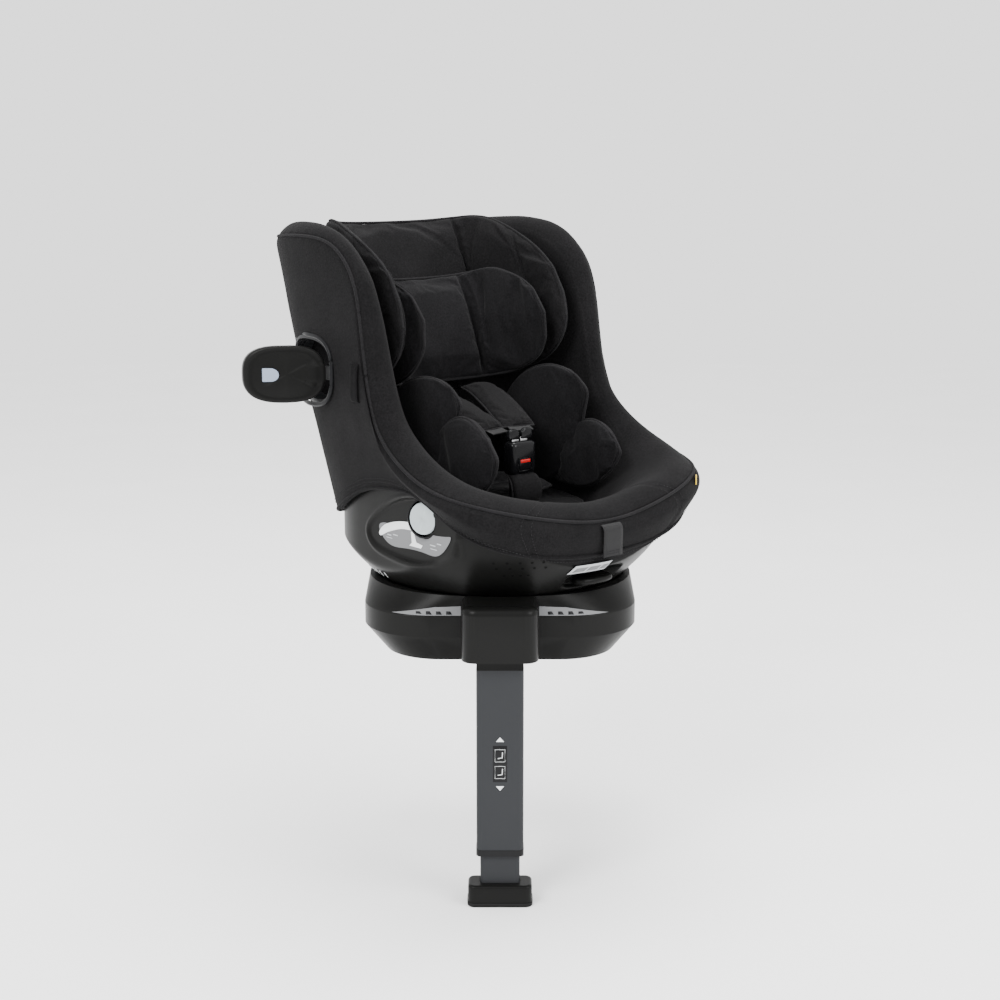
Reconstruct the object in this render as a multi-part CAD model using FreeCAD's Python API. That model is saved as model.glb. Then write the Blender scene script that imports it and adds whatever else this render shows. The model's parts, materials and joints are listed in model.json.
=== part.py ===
"""Swivelling convertible child car seat on a fixed base with a support leg. Millimetres.

Frame: the origin is on the swivel axis, in the plane of the base's underside. +Z is up, -Y is the base's
front (the support leg), +Y its rear (the anchor connectors). Seat parts are drawn facing -Y, then turned by
SWIVEL about Z. In the seat's own drawing frame a point is (l, f, z): l to the seated child's left, f forward.
"""
import math
import os

import FreeCAD
import Part
from FreeCAD import Placement, Rotation, Vector

# ---- driving dimensions -------------------------------------------------------------------------
SWIVEL = 40.0            # how far the seat is turned from facing straight ahead, degrees
BACK_LEAN = 23.0         # backrest from the vertical, degrees
BOWL_Z = 315.0           # centre of the recline arc and of the bowl's sphere
BOWL_R = 286.0
WALL = 4.0               # moulded wall
CUP_GAP = 2.5            # bowl to cup

BASE_HALF = 193.0        # base half width
BASE_FRONT = -178.0
BASE_REAR = 235.0
TRAY_TOP = 34.0          # parting plane of the base
RIM_Z = 93.0             # top of the cup
DECK_Z = 64.0            # top of the base's front and rear walls
RIM_R = 190.0

LEG_Y = -215.0           # leg centre line
LEG_PIN_Z = 28.0
LEG_W, LEG_D = 65.0, 34.0
TUBE_BOTTOM = -265.0
INNER_W, INNER_D = 55.0, 25.0
FOOT_BOTTOM = -337.0
CHANNEL_HALF = 37.0      # half width of the slot the leg folds into
CHANNEL_TOP = 47.0
BLOCK_HALF, BLOCK_FRONT, BLOCK_BOTTOM, BLOCK_TOP = 52.0, -250.0, 18.0, 94.0

ANCHOR_SPACING = 280.0   # centre to centre of the vehicle's lower anchor bars
ANCHOR_BAR_R = 3.0
JAW_R = 3.1
ARM_Z = 35.0
ARM_H, ARM_T = 20.0, 6.0
JAW_Y = 251.0

BACK_F, BACK_Z = -146.0, 172.0   # foot of the inner back plane
HEAD_N = 48.0            # headrest face, from the inner back plane
HEAD_WING = (140.0, 170.0)
PILLOW_WING = (93.0, 130.0)
GAP = 0.6                # clear space between soft parts

lean = math.radians(BACK_LEAN)


# ---- drawing helpers ----------------------------------------------------------------------------
def seat_point(l, f, z):
    return Vector(l, -f, z)


def back_point(l, s, n):
    """A point s up the backrest and n forward of its inner plane."""
    return seat_point(l, BACK_F - s * math.sin(lean) + n * math.cos(lean),
                      BACK_Z + s * math.cos(lean) + n * math.sin(lean))


def box(x0, x1, y0, y1, z0, z1):
    return Part.makeBox(x1 - x0, y1 - y0, z1 - z0, Vector(x0, y0, z0))


def seat_box(l0, l1, f0, f1, z0, z1):
    return box(l0, l1, -f1, -f0, z0, z1)


def cylinder(r, h, at, axis=(0, 0, 1)):
    return Part.makeCylinder(r, h, Vector(*at), Vector(*axis))


def ring(r_out, r_in, h, at, axis=(0, 0, 1)):
    return cylinder(r_out, h, at, axis).cut(cylinder(r_in, h, at, axis))


def fuse(shapes):
    joined = shapes[0].multiFuse(shapes[1:]) if len(shapes) > 1 else shapes[0]
    return joined.removeSplitter()


def soften(shape, radius):
    """Rounds every edge, with a smaller radius or none where that fails."""
    for r in (radius, radius * 0.6, radius * 0.3):
        try:
            rounded = shape.makeFillet(r, shape.Edges)
            if rounded.isValid() and rounded.Volume > 0:
                return rounded
        except Exception:
            continue
    return shape


def soften_edges(shape, radius, keep):
    """Rounds the edges for which keep(edge) is true."""
    edges = [e for e in shape.Edges if keep(e)]
    for r in (radius, radius * 0.6, radius * 0.3):
        try:
            rounded = shape.makeFillet(r, edges)
            if rounded.isValid() and rounded.Volume > 0:
                return rounded
        except Exception:
            continue
    return shape


def upright(e):
    a, b = e.Vertexes[0].Point, e.Vertexes[-1].Point
    return (b - a).Length > 1 and abs((b - a).normalize().z) > 0.99


def spline_wire(points, closed=True):
    curve = Part.BSplineCurve()
    curve.interpolate(Points=points, PeriodicFlag=closed)
    return Part.Wire([curve.toShape()])


def poly_prism(points, direction):
    return Part.Face(Part.makePolygon(points + [points[0]])).extrude(direction)


def smooth_prism(points, direction):
    return Part.Face(spline_wire(points)).extrude(direction)


def rounded_rect(half_x, y0, y1, z, r_front, r_rear, grow=0.0):
    """A closed wire in the plane z: a rectangle with arcs at its corners, grown outwards by grow."""
    hx, a, b = half_x + grow, y0 - grow, y1 + grow
    rf, rr = r_front + grow, r_rear + grow
    k = math.sqrt(0.5)

    def arc(cx, cy, r, sx, sy, first):
        mid = Vector(cx + sx * r * k, cy + sy * r * k, z)
        ends = [Vector(cx + sx * r, cy, z), Vector(cx, cy + sy * r, z)]
        if first == "y":
            ends.reverse()
        return ends[0], mid, ends[1]

    arcs = [arc(hx - rf, a + rf, rf, 1, -1, "y"), arc(hx - rr, b - rr, rr, 1, 1, "x"),
            arc(-hx + rr, b - rr, rr, -1, 1, "y"), arc(-hx + rf, a + rf, rf, -1, -1, "x")]
    edges = []
    for i, (p, m, q) in enumerate(arcs):
        edges.append(Part.Arc(p, m, q).toShape())
        edges.append(Part.makeLine(q, arcs[(i + 1) % 4][0]))
    return Part.Wire(edges)


def turned(shape):
    """From the seat's drawing frame to the object's frame."""
    out = shape.copy()
    out.Placement = Placement(Vector(0, 0, 0), Rotation(Vector(0, 0, 1), SWIVEL)).multiply(out.Placement)
    return out


def mirrored(shape):
    return shape.mirror(Vector(0, 0, 0), Vector(1, 0, 0))


def export(name, shape, in_seat=False):
    if in_seat:
        shape = turned(shape)
    solids = shape.Solids
    assert solids, name + " has no solid"
    assert all(s.isValid() for s in solids), name + " is not valid"
    body = solids[0] if len(solids) == 1 else Part.makeCompound(solids)
    body.exportStep("parts/" + name + ".step")
    print(f"{name:26s} solids {len(solids)} volume {sum(s.Volume for s in solids) / 1000:9.1f} cm3")


# ---- base ---------------------------------------------------------------------------------------
FULL = dict(half_x=BASE_HALF, y0=BASE_FRONT, y1=BASE_REAR, r_front=95.0, r_rear=60.0)
SOLE = dict(half_x=162.0, y0=BASE_FRONT + 8, y1=BASE_REAR - 22, r_front=80.0, r_rear=45.0)


def leg_slot(clear=0.0):
    """The space the folded leg and its foot need, open downwards."""
    narrow = box(-CHANNEL_HALF - clear, CHANNEL_HALF + clear, LEG_Y - 21, 90, -60, CHANNEL_TOP + clear)
    wide = box(-50 - clear, 50 + clear, 88 - clear, 160 + clear, -60, CHANNEL_TOP + clear)
    return narrow.fuse(wide)


def base_lower_tray():
    outer = Part.makeLoft([rounded_rect(z=0, **SOLE), rounded_rect(z=TRAY_TOP, **FULL)], True, True)
    inner = Part.makeLoft([rounded_rect(z=WALL, grow=-WALL, **SOLE),
                           rounded_rect(z=TRAY_TOP + 0.01, grow=-WALL, **FULL)], True, True)
    tray = outer.cut(inner)
    walls = leg_slot(WALL).common(outer).cut(box(-300, 300, -400, BASE_FRONT + 6, -100, 100))
    return tray.fuse(walls).cut(leg_slot()).cut(anchor_tunnels())


def anchor_tunnels():
    """Openings in the rear wall for the connector arms."""
    x = ANCHOR_SPACING / 2
    return fuse([box(s * x - 15, s * x + 15, 150, 300, 16, 57) for s in (-1, 1)])


def base_upper_housing():
    wires = [rounded_rect(z=TRAY_TOP, **FULL), rounded_rect(z=DECK_Z, **FULL)]
    skirt = Part.makeLoft(wires, True, True)
    rim = Part.makeLoft([rounded_rect(BASE_HALF, BASE_FRONT, BASE_REAR, DECK_Z, 95, 60),
                         rounded_rect(RIM_R - 1, -RIM_R + 12, RIM_R + 8, RIM_Z, 150, 150)], True, True)
    body = skirt.fuse(rim)
    hollow = Part.makeLoft([rounded_rect(z=TRAY_TOP - 0.01, grow=-WALL, **FULL),
                            rounded_rect(z=DECK_Z - 2, grow=-WALL, **FULL),
                            rounded_rect(RIM_R - 1, -RIM_R + 12, RIM_R + 8, RIM_Z - WALL, 150, 150, grow=-WALL)],
                           True, True)
    centre = Vector(0, 0, BOWL_Z)
    cup_out = Part.makeSphere(BOWL_R + CUP_GAP + WALL, centre)
    cup_in = Part.makeSphere(BOWL_R + CUP_GAP, centre)
    well = cylinder(120, 60, (0, 0, 0))
    body = body.cut(hollow.cut(cup_out)).cut(cup_in).cut(well)
    return body.cut(leg_slot(WALL)).cut(box(-50, 50, BASE_FRONT - 1, -150, 30, 60)).cut(anchor_tunnels())


def leg_block():
    """The moulded housing at the front that carries the leg's pin."""
    outline = rounded_rect(BLOCK_HALF, BLOCK_FRONT, BASE_FRONT + 24, BLOCK_BOTTOM, 20, 2)
    block = Part.Face(outline).extrude(Vector(0, 0, BLOCK_TOP - BLOCK_BOTTOM))
    block = soften_edges(block, 11, lambda e: e.BoundBox.ZMin > BLOCK_TOP - 1 and e.BoundBox.YMax < BASE_FRONT + 20)
    base_body = Part.makeLoft([rounded_rect(z=TRAY_TOP - 0.3, grow=0.3, **FULL),
                               rounded_rect(z=DECK_Z, grow=0.3, **FULL)], True, True)
    upper = Part.makeLoft([rounded_rect(BASE_HALF, BASE_FRONT, BASE_REAR, DECK_Z, 95, 60, grow=0.3),
                           rounded_rect(RIM_R - 1, -RIM_R + 12, RIM_R + 8, RIM_Z + 0.3, 150, 150, grow=0.3)],
                          True, True)
    sole = Part.makeLoft([rounded_rect(z=-0.3, grow=0.3, **SOLE), rounded_rect(z=TRAY_TOP, grow=0.3, **FULL)],
                         True, True)
    block = block.cut(base_body).cut(upper).cut(sole)
    block = block.cut(Part.makeSphere(BOWL_R + CUP_GAP, Vector(0, 0, BOWL_Z)))
    pocket = box(-34, 34, LEG_Y - 19.5, 0, -10, LEG_PIN_Z + 22)
    pin = cylinder(6.03, 100, (-50, LEG_Y, LEG_PIN_Z), (1, 0, 0))
    return block.cut(pocket).cut(pin)


def leg_pin():
    shaft = cylinder(6, 96, (-48, LEG_Y, LEG_PIN_Z), (1, 0, 0))
    return shaft


def base_labels():
    """Two crescent-shaped instruction plates on the sloping front apron, one each side of the leg block."""
    band = Part.makeLoft([rounded_rect(z=DECK_Z, grow=0.9, **FULL),
                          rounded_rect(RIM_R - 1, -RIM_R + 12, RIM_R + 8, RIM_Z, 150, 150, grow=0.9)], True, True)
    inner = Part.makeLoft([rounded_rect(z=DECK_Z, **FULL),
                           rounded_rect(RIM_R - 1, -RIM_R + 12, RIM_R + 8, RIM_Z, 150, 150)], True, True)
    skin = band.cut(inner)
    points = [Vector(-150, 0, DECK_Z + 2), Vector(-95, 0, DECK_Z + 1.5), Vector(0, 0, DECK_Z + 1), Vector(95, 0, DECK_Z + 1.5),
              Vector(150, 0, DECK_Z + 2), Vector(90, 0, DECK_Z + 13), Vector(0, 0, DECK_Z + 17), Vector(-90, 0, DECK_Z + 13)]
    crescent = Part.Face(Part.makePolygon(points + [points[0]])).extrude(Vector(0, -300, 0))
    return skin.common(crescent).cut(box(-54, 54, -400, 0, 0, 200))


def base_chassis():
    """Steel frame: two pressed side plates, bridge straps over the leg slot, and the round bearing plate."""
    plates = [box(s * 56.5 - 1.5, s * 56.5 + 1.5, -150, 205, 5, 47.3) for s in (-1, 1)]
    straps = [box(-58, 58, y, y + 24, 47.3, 49.0) for y in (-148, 174)]
    disc = cylinder(94, 1.7, (0, 0, 47.3))
    ties = [box(min(s * 55, s * 134), max(s * 55, s * 134), y, y + 20, 26, 30) for s in (-1, 1) for y in (-30, 60, 185)]
    return fuse(plates + straps + [disc] + ties)


def turntable_race():
    return ring(90, 72, 2.6, (0, 0, 49.0))


# ---- anchor connectors --------------------------------------------------------------------------
def guide_tubes():
    """Steel rectangular tubes that the connector arms slide in."""
    x = ANCHOR_SPACING / 2
    tubes = [box(s * x - 6, s * x + 6, -40, 212, ARM_Z - 13, ARM_Z + 13)
             .cut(box(s * x - 3.6, s * x + 3.6, -50, 220, ARM_Z - 10.6, ARM_Z + 10.6)) for s in (-1, 1)]
    return Part.makeCompound(tubes)


def anchor_arm(side):
    """A steel arm that ends in two jaw plates with a slot for the anchor bar."""
    x = side * ANCHOR_SPACING / 2
    bar = box(x - ARM_T / 2, x + ARM_T / 2, -20, 222, ARM_Z - ARM_H / 2, ARM_Z + ARM_H / 2)
    plates = [box(x + d - 1.5, x + d + 1.5, 212.6, 266, ARM_Z - 14, ARM_Z + 14) for d in (-7.5, 7.5)]
    spacer = box(x - 7.5, x + 7.5, 212.6, 224, ARM_Z - ARM_H / 2, ARM_Z + ARM_H / 2)
    arm = fuse([bar, spacer] + plates)
    slot = box(x - 20, x + 20, JAW_Y, 300, ARM_Z - JAW_R, ARM_Z + JAW_R)
    mouth = poly_prism([Vector(x - 20, 259, ARM_Z - JAW_R), Vector(x - 20, 270, ARM_Z - 9),
                        Vector(x - 20, 270, ARM_Z + 9), Vector(x - 20, 259, ARM_Z + JAW_R)], Vector(40, 0, 0))
    bore = cylinder(JAW_R, 40, (x - 20, JAW_Y, ARM_Z), (1, 0, 0))
    pivot = cylinder(2.53, 40, (x - 20, 236, ARM_Z + 8), (1, 0, 0))
    return arm.cut(fuse([slot, mouth, bore])).cut(pivot)


def anchor_hook(side):
    """The latch pawl between the jaw plates. It drops behind the bar and pivots on its own pin."""
    x = side * ANCHOR_SPACING / 2
    z = ARM_Z
    pts = [(231, 3), (241, 3.6), (255.3, 3.9), (255.3, -1), (259.5, 0), (262, 4), (262, 7), (240, 12), (231, 12)]
    pts = [Vector(x - 4, y, z + h) for y, h in pts]
    hook = poly_prism(pts, Vector(8, 0, 0))
    return hook.fuse(cylinder(2.5, 18.4, (x - 9.2, 236, z + 8), (1, 0, 0)))


def anchor_cover(side):
    """Plastic shroud around the jaw plates, open at the mouth and at the button."""
    x = side * ANCHOR_SPACING / 2
    outer = box(x - 12.5, x + 12.5, 213.5, 268, ARM_Z - 17, ARM_Z + 17)
    outer = soften_edges(outer, 3, lambda e: abs(e.BoundBox.YLength) > 40)
    inner = box(x - 9.6, x + 9.6, 213, 269, ARM_Z - 14.4, ARM_Z + 14.4)
    bar = box(x - 30, x + 30, 240, 280, ARM_Z - 6, ARM_Z + 6)
    slot = box(x - 6.4, x + 6.4, 222, 246, ARM_Z + 10, ARM_Z + 20)
    return outer.cut(inner).cut(bar).cut(slot)


def anchor_button(side):
    """Release button on top of the connector."""
    x = side * ANCHOR_SPACING / 2
    return soften_edges(box(x - 5.8, x + 5.8, 226, 245.4, ARM_Z + 15, ARM_Z + 20), 1.5,
                        lambda e: e.BoundBox.ZMin > ARM_Z + 18)


# ---- support leg --------------------------------------------------------------------------------
def tube_wire(w, d, z, r, grow=0.0):
    return rounded_rect(w / 2, LEG_Y - d / 2, LEG_Y + d / 2, z, r, r, grow=grow)


def tube(w, d, z0, z1, r, wall):
    outer = Part.Face(tube_wire(w, d, z0, r)).extrude(Vector(0, 0, z1 - z0))
    inner = Part.Face(tube_wire(w, d, z0, r, grow=-wall)).extrude(Vector(0, 0, z1 - z0))
    return outer.cut(inner)


def leg_outer_tube():
    body = tube(LEG_W, LEG_D, TUBE_BOTTOM + 9, 3, 7, 2.0)
    window = box(-9, 9, LEG_Y + LEG_D / 2 - 4, LEG_Y + LEG_D / 2 + 4, TUBE_BOTTOM + 24, TUBE_BOTTOM + 60)
    return body.cut(window)


def leg_knuckle():
    """Plastic head of the leg, plugged into the tube, which turns on the pin."""
    head = cylinder(17, LEG_W - 1, (-LEG_W / 2 + 0.5, LEG_Y, LEG_PIN_Z), (1, 0, 0))
    neck = box(-LEG_W / 2 + 0.5, LEG_W / 2 - 0.5, LEG_Y - 17, LEG_Y + 17, 3, LEG_PIN_Z)
    plug = Part.Face(tube_wire(LEG_W, LEG_D, -22, 7, grow=-2.0)).extrude(Vector(0, 0, 25))
    return fuse([head, neck, plug]).cut(cylinder(6.05, 100, (-50, LEG_Y, LEG_PIN_Z), (1, 0, 0)))


def leg_collar():
    """Dark plastic sleeve at the tube's lower end that guides the inner tube."""
    lip = Part.Face(tube_wire(LEG_W, LEG_D, TUBE_BOTTOM, 7, grow=0.6)).extrude(Vector(0, 0, 9))
    liner = Part.Face(tube_wire(LEG_W, LEG_D, TUBE_BOTTOM + 9, 7, grow=-2.0)).extrude(Vector(0, 0, 11))
    hole = Part.Face(tube_wire(INNER_W, INNER_D, TUBE_BOTTOM - 1, 5, grow=0.4)).extrude(Vector(0, 0, 40))
    button_way = box(-10, 10, LEG_Y, LEG_Y + 30, TUBE_BOTTOM + 9, TUBE_BOTTOM + 40)
    return lip.fuse(liner).cut(hole).cut(button_way)


def leg_button():
    """Squeeze button on the rear of the outer tube that frees the inner tube."""
    face = LEG_Y + LEG_D / 2
    return soften_edges(box(-8.6, 8.6, face - 2.1, face + 1.2, TUBE_BOTTOM + 24.4, TUBE_BOTTOM + 59.6), 1,
                        lambda e: e.BoundBox.YMin > face + 1)


def leg_inner_tube():
    body = tube(INNER_W, INNER_D, FOOT_BOTTOM + 20, -62, 5, 2.0)
    holes = [cylinder(4, 30, (0, LEG_Y + 5, z), (0, 1, 0)) for z in range(-230, -80, 20)]
    return body.cut(fuse(holes))


def leg_foot():
    """Rubber-soled foot with a shoe that grips the inner tube's end."""
    outline = Part.Face(rounded_rect(44.5, LEG_Y - 25, LEG_Y + 16, FOOT_BOTTOM + 6, 10, 10))
    shoe = outline.extrude(Vector(0, 0, 25))
    shoe = soften_edges(shoe, 4, lambda e: e.BoundBox.ZMin > FOOT_BOTTOM + 30)
    socket = Part.Face(tube_wire(INNER_W, INNER_D, FOOT_BOTTOM + 13, 5, grow=0.8)).extrude(Vector(0, 0, 30))
    return shoe.cut(socket)


def leg_foot_pad():
    outline = Part.Face(rounded_rect(45.5, LEG_Y - 26, LEG_Y + 17, FOOT_BOTTOM, 11, 11))
    pad = outline.extrude(Vector(0, 0, 6))
    grooves = [box(-60, 60, LEG_Y + y - 1, LEG_Y + y + 1, FOOT_BOTTOM - 1, FOOT_BOTTOM + 1.5) for y in range(-20, 13, 8)]
    return soften_edges(pad, 2, lambda e: e.BoundBox.ZMax < FOOT_BOTTOM + 0.5).cut(fuse(grooves))


# ---- turntable ----------------------------------------------------------------------------------
def turntable_disc():
    disc = ring(95, 20, 5.4, (0, 0, 52))
    return disc


def recline_cradle():
    """Two guide walls on the turntable with concave tops, concentric with the recline arc."""
    trough = Part.makeCylinder(255.3, 300, seat_point(-150, 0, BOWL_Z), Vector(1, 0, 0))
    walls = [seat_box(s * 60 - 5, s * 60 + 5, -66, 66, 57.4, 74) for s in (-1, 1)]
    tie = seat_box(-55, 55, -8, 8, 57.4, 59.4)
    return fuse([w.cut(trough) for w in walls] + [tie.cut(trough)])


# ---- seat tub: rings of points (l, f, z) on the left half, back centre to front centre -----------
HEM = [(0, -190, 172), (95, -188, 170), (172, -165, 172), (205, -110, 195), (214, -60, 220), (217, -20, 233),
       (219, 15, 238), (221, 50, 241), (222, 85, 240), (221, 122, 228), (211, 162, 202), (176, 200, 178),
       (105, 223, 160), (0, 229, 152)]
FLANK = [(0, -286, 430), (105, -282, 430), (188, -254, 425), (217, -176, 420), (224, -100, 405), (226, -50, 380),
         (228, -20, 345), (229, 5, 310), (232, 35, 275), (236, 85, 252), (238, 145, 239), (213, 203, 212),
         (122, 232, 190), (0, 237, 170)]
SEAM = [(0, -338, 556), (104, -334, 560), (190, -298, 566), (222, -200, 572), (223, -106, 568), (223, -54, 524),
        (224, -38, 460), (224, -28, 390), (226, -4, 315), (232, 62, 270), (236, 140, 250), (211, 200, 237),
        (120, 228, 213), (0, 233, 194)]
CREST = [(0, -318, 570), (90, -312, 576), (166, -280, 592), (200, -190, 600), (205, -102, 587), (204, -40, 535),
         (204, -14, 462), (202, 2, 392), (203, 28, 336), (207, 98, 293), (200, 160, 268), (150, 196, 250),
         (75, 208, 234), (0, 210, 226)]
INNER_TOP = [(0, -300, 552), (80, -298, 555), (145, -272, 570), (174, -190, 578), (182, -106, 562), (183, -50, 512),
             (183, -24, 448), (182, -8, 385), (180, 16, 325), (172, 78, 274), (152, 128, 244), (112, 156, 226),
             (58, 168, 214), (0, 170, 210)]
INNER_MID = [(0, -243, 400), (80, -242, 400), (140, -228, 400), (170, -170, 395), (177, -110, 380), (177, -68, 355),
             (175, -32, 325), (170, 0, 295), (160, 35, 262), (145, 78, 234), (124, 116, 214), (90, 142, 202),
             (46, 152, 196), (0, 154, 194)]
INNER_LOW = [(0, -146, 172), (60, -144, 172), (108, -128, 172), (130, -95, 172), (140, -62, 172), (143, -30, 172),
             (143, 0, 172), (139, 28, 172), (130, 54, 172), (114, 78, 172), (92, 98, 172), (64, 112, 172),
             (33, 119, 172), (0, 121, 172)]
SOLE_Z = 158.0


def full_ring(half):
    """The closed list of points from the left half, mirrored."""
    return half + [(-l, f, z) for l, f, z in reversed(half[1:-1])]


def between(p, q, distance):
    """The point of the segment p-q that lies distance from p."""
    d = math.dist(p, q)
    return tuple(a + (b - a) * distance / d for a, b in zip(p, q))


def toward(a, b, distance):
    """Points of ring a moved by distance towards the matching points of ring b."""
    return [between(p, q, distance) for p, q in zip(a, b)]


def shrunk(half, inset, z=None):
    """The ring moved inwards in plan by inset, and laid flat at z when one is given."""
    out = []
    for l, f, h in half:
        r = math.hypot(l, f)
        out.append((l * (r - inset) / r, f * (r - inset) / r, h if z is None else z))
    return out


def lifted(half, dz):
    return [(l, f, z + dz) for l, f, z in half]


def denser(loop):
    """The closed loop with a point added in the middle of each span, on a smooth curve."""
    n, out = len(loop), []
    for i in range(n):
        a, b, c, d = (loop[(i + k) % n] for k in (-1, 0, 1, 2))
        out += [b, tuple((-p + 9 * q + 9 * r - s) / 16 for p, q, r, s in zip(a, b, c, d))]
    return out


def periodic_edge(points):
    n = len(points)
    curve = Part.BSplineCurve()
    curve.buildFromPolesMultsKnots(points, [1] * (n + 1), [float(i) for i in range(n + 1)], True, 3)
    return curve.toShape()


def skin(rings, degree):
    """A surface through a stack of closed rings, whose points are its control points."""
    grid = [[seat_point(*p) for p in denser(full_ring(r))] for r in rings]
    rows, n = len(grid), len(grid[0])
    inner = rows - degree - 1
    surface = Part.BSplineSurface()
    surface.buildFromPolesMultsKnots(grid, [degree + 1] + [1] * inner + [degree + 1], [1] * (n + 1),
                                     [float(i) for i in range(inner + 2)], [float(i) for i in range(n + 1)],
                                     False, True, degree, 3)
    return surface.toShape()


def cap(half):
    return Part.Face(Part.Wire([periodic_edge([seat_point(*p) for p in denser(full_ring(half))])]))


def closed_stack(lower, upper):
    """A solid: a flat bottom, a ruled underside through the lower rings, a smooth wall, a flat inner end."""
    under = skin(lower + [upper[0]], 1)
    shell = Part.makeShell(under.Faces + skin(upper, 3).Faces + [cap(lower[0]), cap(upper[-1])])
    shell.sewShape()
    solid = Part.makeSolid(Part.makeShell(shell.Faces))
    if solid.Volume < 0:
        solid.reverse()
    return solid


def tub_envelope():
    """The padded seat as one solid: fabric, foam and structure together."""
    walls = [HEM, toward(HEM, FLANK, 12), toward(FLANK, HEM, 60), FLANK, toward(SEAM, FLANK, 14), SEAM,
             CREST, INNER_TOP, toward(INNER_TOP, INNER_MID, 14), INNER_MID, toward(INNER_LOW, INNER_MID, 20), INNER_LOW]
    return closed_stack([shrunk(HEM, 60, SOLE_Z), lifted(shrunk(HEM, 34), -6), shrunk(HEM, 14)], walls)


def tub_core():
    """The moulded structure inside the padding."""
    base = [tuple((a + b) / 2 for a, b in zip(p, q)) for p, q in zip(HEM, shrunk(HEM, 20))]
    base = [(l, f, z + 9) for l, f, z in base]
    flank = toward(FLANK, INNER_MID, 9)
    seam = toward(toward(SEAM, INNER_TOP, 10), FLANK, 8)
    top = toward(toward(INNER_TOP, SEAM, 9), INNER_MID, 4)
    crest = [tuple((a + b) / 2 for a, b in zip(p, q)) for p, q in zip(seam, top)]
    mid = toward(INNER_MID, FLANK, 9)
    low = [(l, f, z - 6) for l, f, z in INNER_LOW]
    lip, sole = lifted(shrunk(HEM, 34), -6), shrunk(HEM, 60, SOLE_Z)
    under = [(*shrunk([p], 46)[0][:2], a[2] + (b[2] - a[2]) * 12 / 26 + 2.5) for p, a, b in zip(HEM, lip, sole)]
    return closed_stack([shrunk(HEM, 66, 150), shrunk(HEM, 64, 161), under], [base, toward(base, flank, 10), flank,
                        toward(seam, flank, 12), seam, crest, top, toward(top, mid, 12), mid, toward(low, mid, 20), low])


def oval(cf, cz, rf, rz, l0, l1):
    """A squarish oval prism across the seat, from l0 to l1."""
    pts = []
    for i in range(16):
        a = 2 * math.pi * i / 16
        c, s = math.cos(a), math.sin(a)
        pts.append(seat_point(l0, cf + rf * math.copysign(abs(c) ** 0.72, c), cz + rz * math.copysign(abs(s) ** 0.72, s)))
    return smooth_prism(pts, Vector(l1 - l0, 0, 0))


GUARD_F, GUARD_Z, GUARD_RF, GUARD_RZ = -165.0, 386.0, 58.0, 42.0
GUARD_OPEN = 72.0
GUARD_HINGE = (226.0, -106.0)     # (l, f) of the vertical hinge line, on the outer skin at the pocket's front


def guard_pocket(grow):
    return oval(GUARD_F, GUARD_Z, GUARD_RF + grow, GUARD_RZ + grow, 176, 245)


def guard_panel(envelope):
    """The side-impact guard of the left side, closed."""
    blank = oval(GUARD_F, GUARD_Z, GUARD_RF, GUARD_RZ, 176, 245)
    inner = poly_prism([seat_point(170, -260, 300), seat_point(203, -90, 300), seat_point(120, -90, 300),
                        seat_point(120, -260, 300)], Vector(0, 0, 200))
    panel = blank.common(envelope).cut(inner)
    knuckle_way = seat_box(190, 240, GUARD_HINGE[1] - 12, -90, GUARD_Z - 11, GUARD_Z + 11)
    return panel.cut(knuckle_way)


def swung(shape, angle, at):
    out = shape.copy()
    out.rotate(seat_point(at[0], at[1], 0), Vector(0, 0, 1), angle)
    return out


def guard_bezel(envelope, panel):
    """The pocket's frame, relieved where the panel's front corners swing past."""
    ring_part = guard_pocket(8.5).cut(guard_pocket(1.2)).common(envelope)
    slab = poly_prism([seat_point(163, -260, 300), seat_point(197, -90, 300), seat_point(120, -90, 300),
                       seat_point(120, -260, 300)], Vector(0, 0, 200))
    frame = ring_part.cut(slab)
    for shift in (0.0, 0.5):
        blade = panel.copy()
        blade.translate(seat_point(-shift, 0, 0) - seat_point(0, 0, 0))
        for angle in range(6, int(GUARD_OPEN) + 1, 3):
            frame = frame.cut(swung(blade, -angle, GUARD_HINGE))
    return max(frame.Solids, key=lambda p: p.Volume)


def guard_bracket():
    """The small hinge block of a guard."""
    l, f = GUARD_HINGE
    return soften(seat_box(l - 24, l - 2, f - 11, f + 3.5, GUARD_Z - 10, GUARD_Z + 10), 2)


POD_F, POD_Z = 85.0, 206.0


def bowl_prism(inset, z0, z1):
    return Part.Face(Part.Wire([periodic_edge([seat_point(l, f, z0) for l, f, z in
                     denser(full_ring(shrunk(HEM, inset)))])])).extrude(Vector(0, 0, z1 - z0))


def pod_outline(l, grow):
    """The button pod's outline on the bowl's side: a rounded fan, seen across the seat."""
    pts = [(150, 200), (118, 222), (80, 230), (40, 224), (0, 205), (-35, 176), (-20, 158), (30, 150), (85, 152),
           (135, 166)]
    cf, cz = 65.0, 190.0
    return [seat_point(l, cf + (f - cf) * grow, cz + (z - cz) * grow) for f, z in pts]


def bowl_shell(envelope):
    """The moulded bowl under the seat: part of a sphere about the recline axis, with flat sides."""
    centre = Vector(0, 0, BOWL_Z)
    outer = Part.makeSphere(BOWL_R, centre).common(bowl_prism(8, 20, 246))
    inner = Part.makeSphere(BOWL_R - WALL, centre).common(bowl_prism(8 + WALL, 20, 250))
    body = outer.cut(inner).cut(envelope)
    for s in (1, -1):
        recess = smooth_prism(pod_outline(s * 180, 1.0), Vector(s * 60, 0, 0))
        body = body.cut(recess)
    body = body.cut(seat_box(-34, 34, 180, 300, 100, 124)).cut(seat_box(-112, 112, -172, 112, 0, 110))
    return max(body.Solids, key=lambda p: p.Volume)


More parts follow.
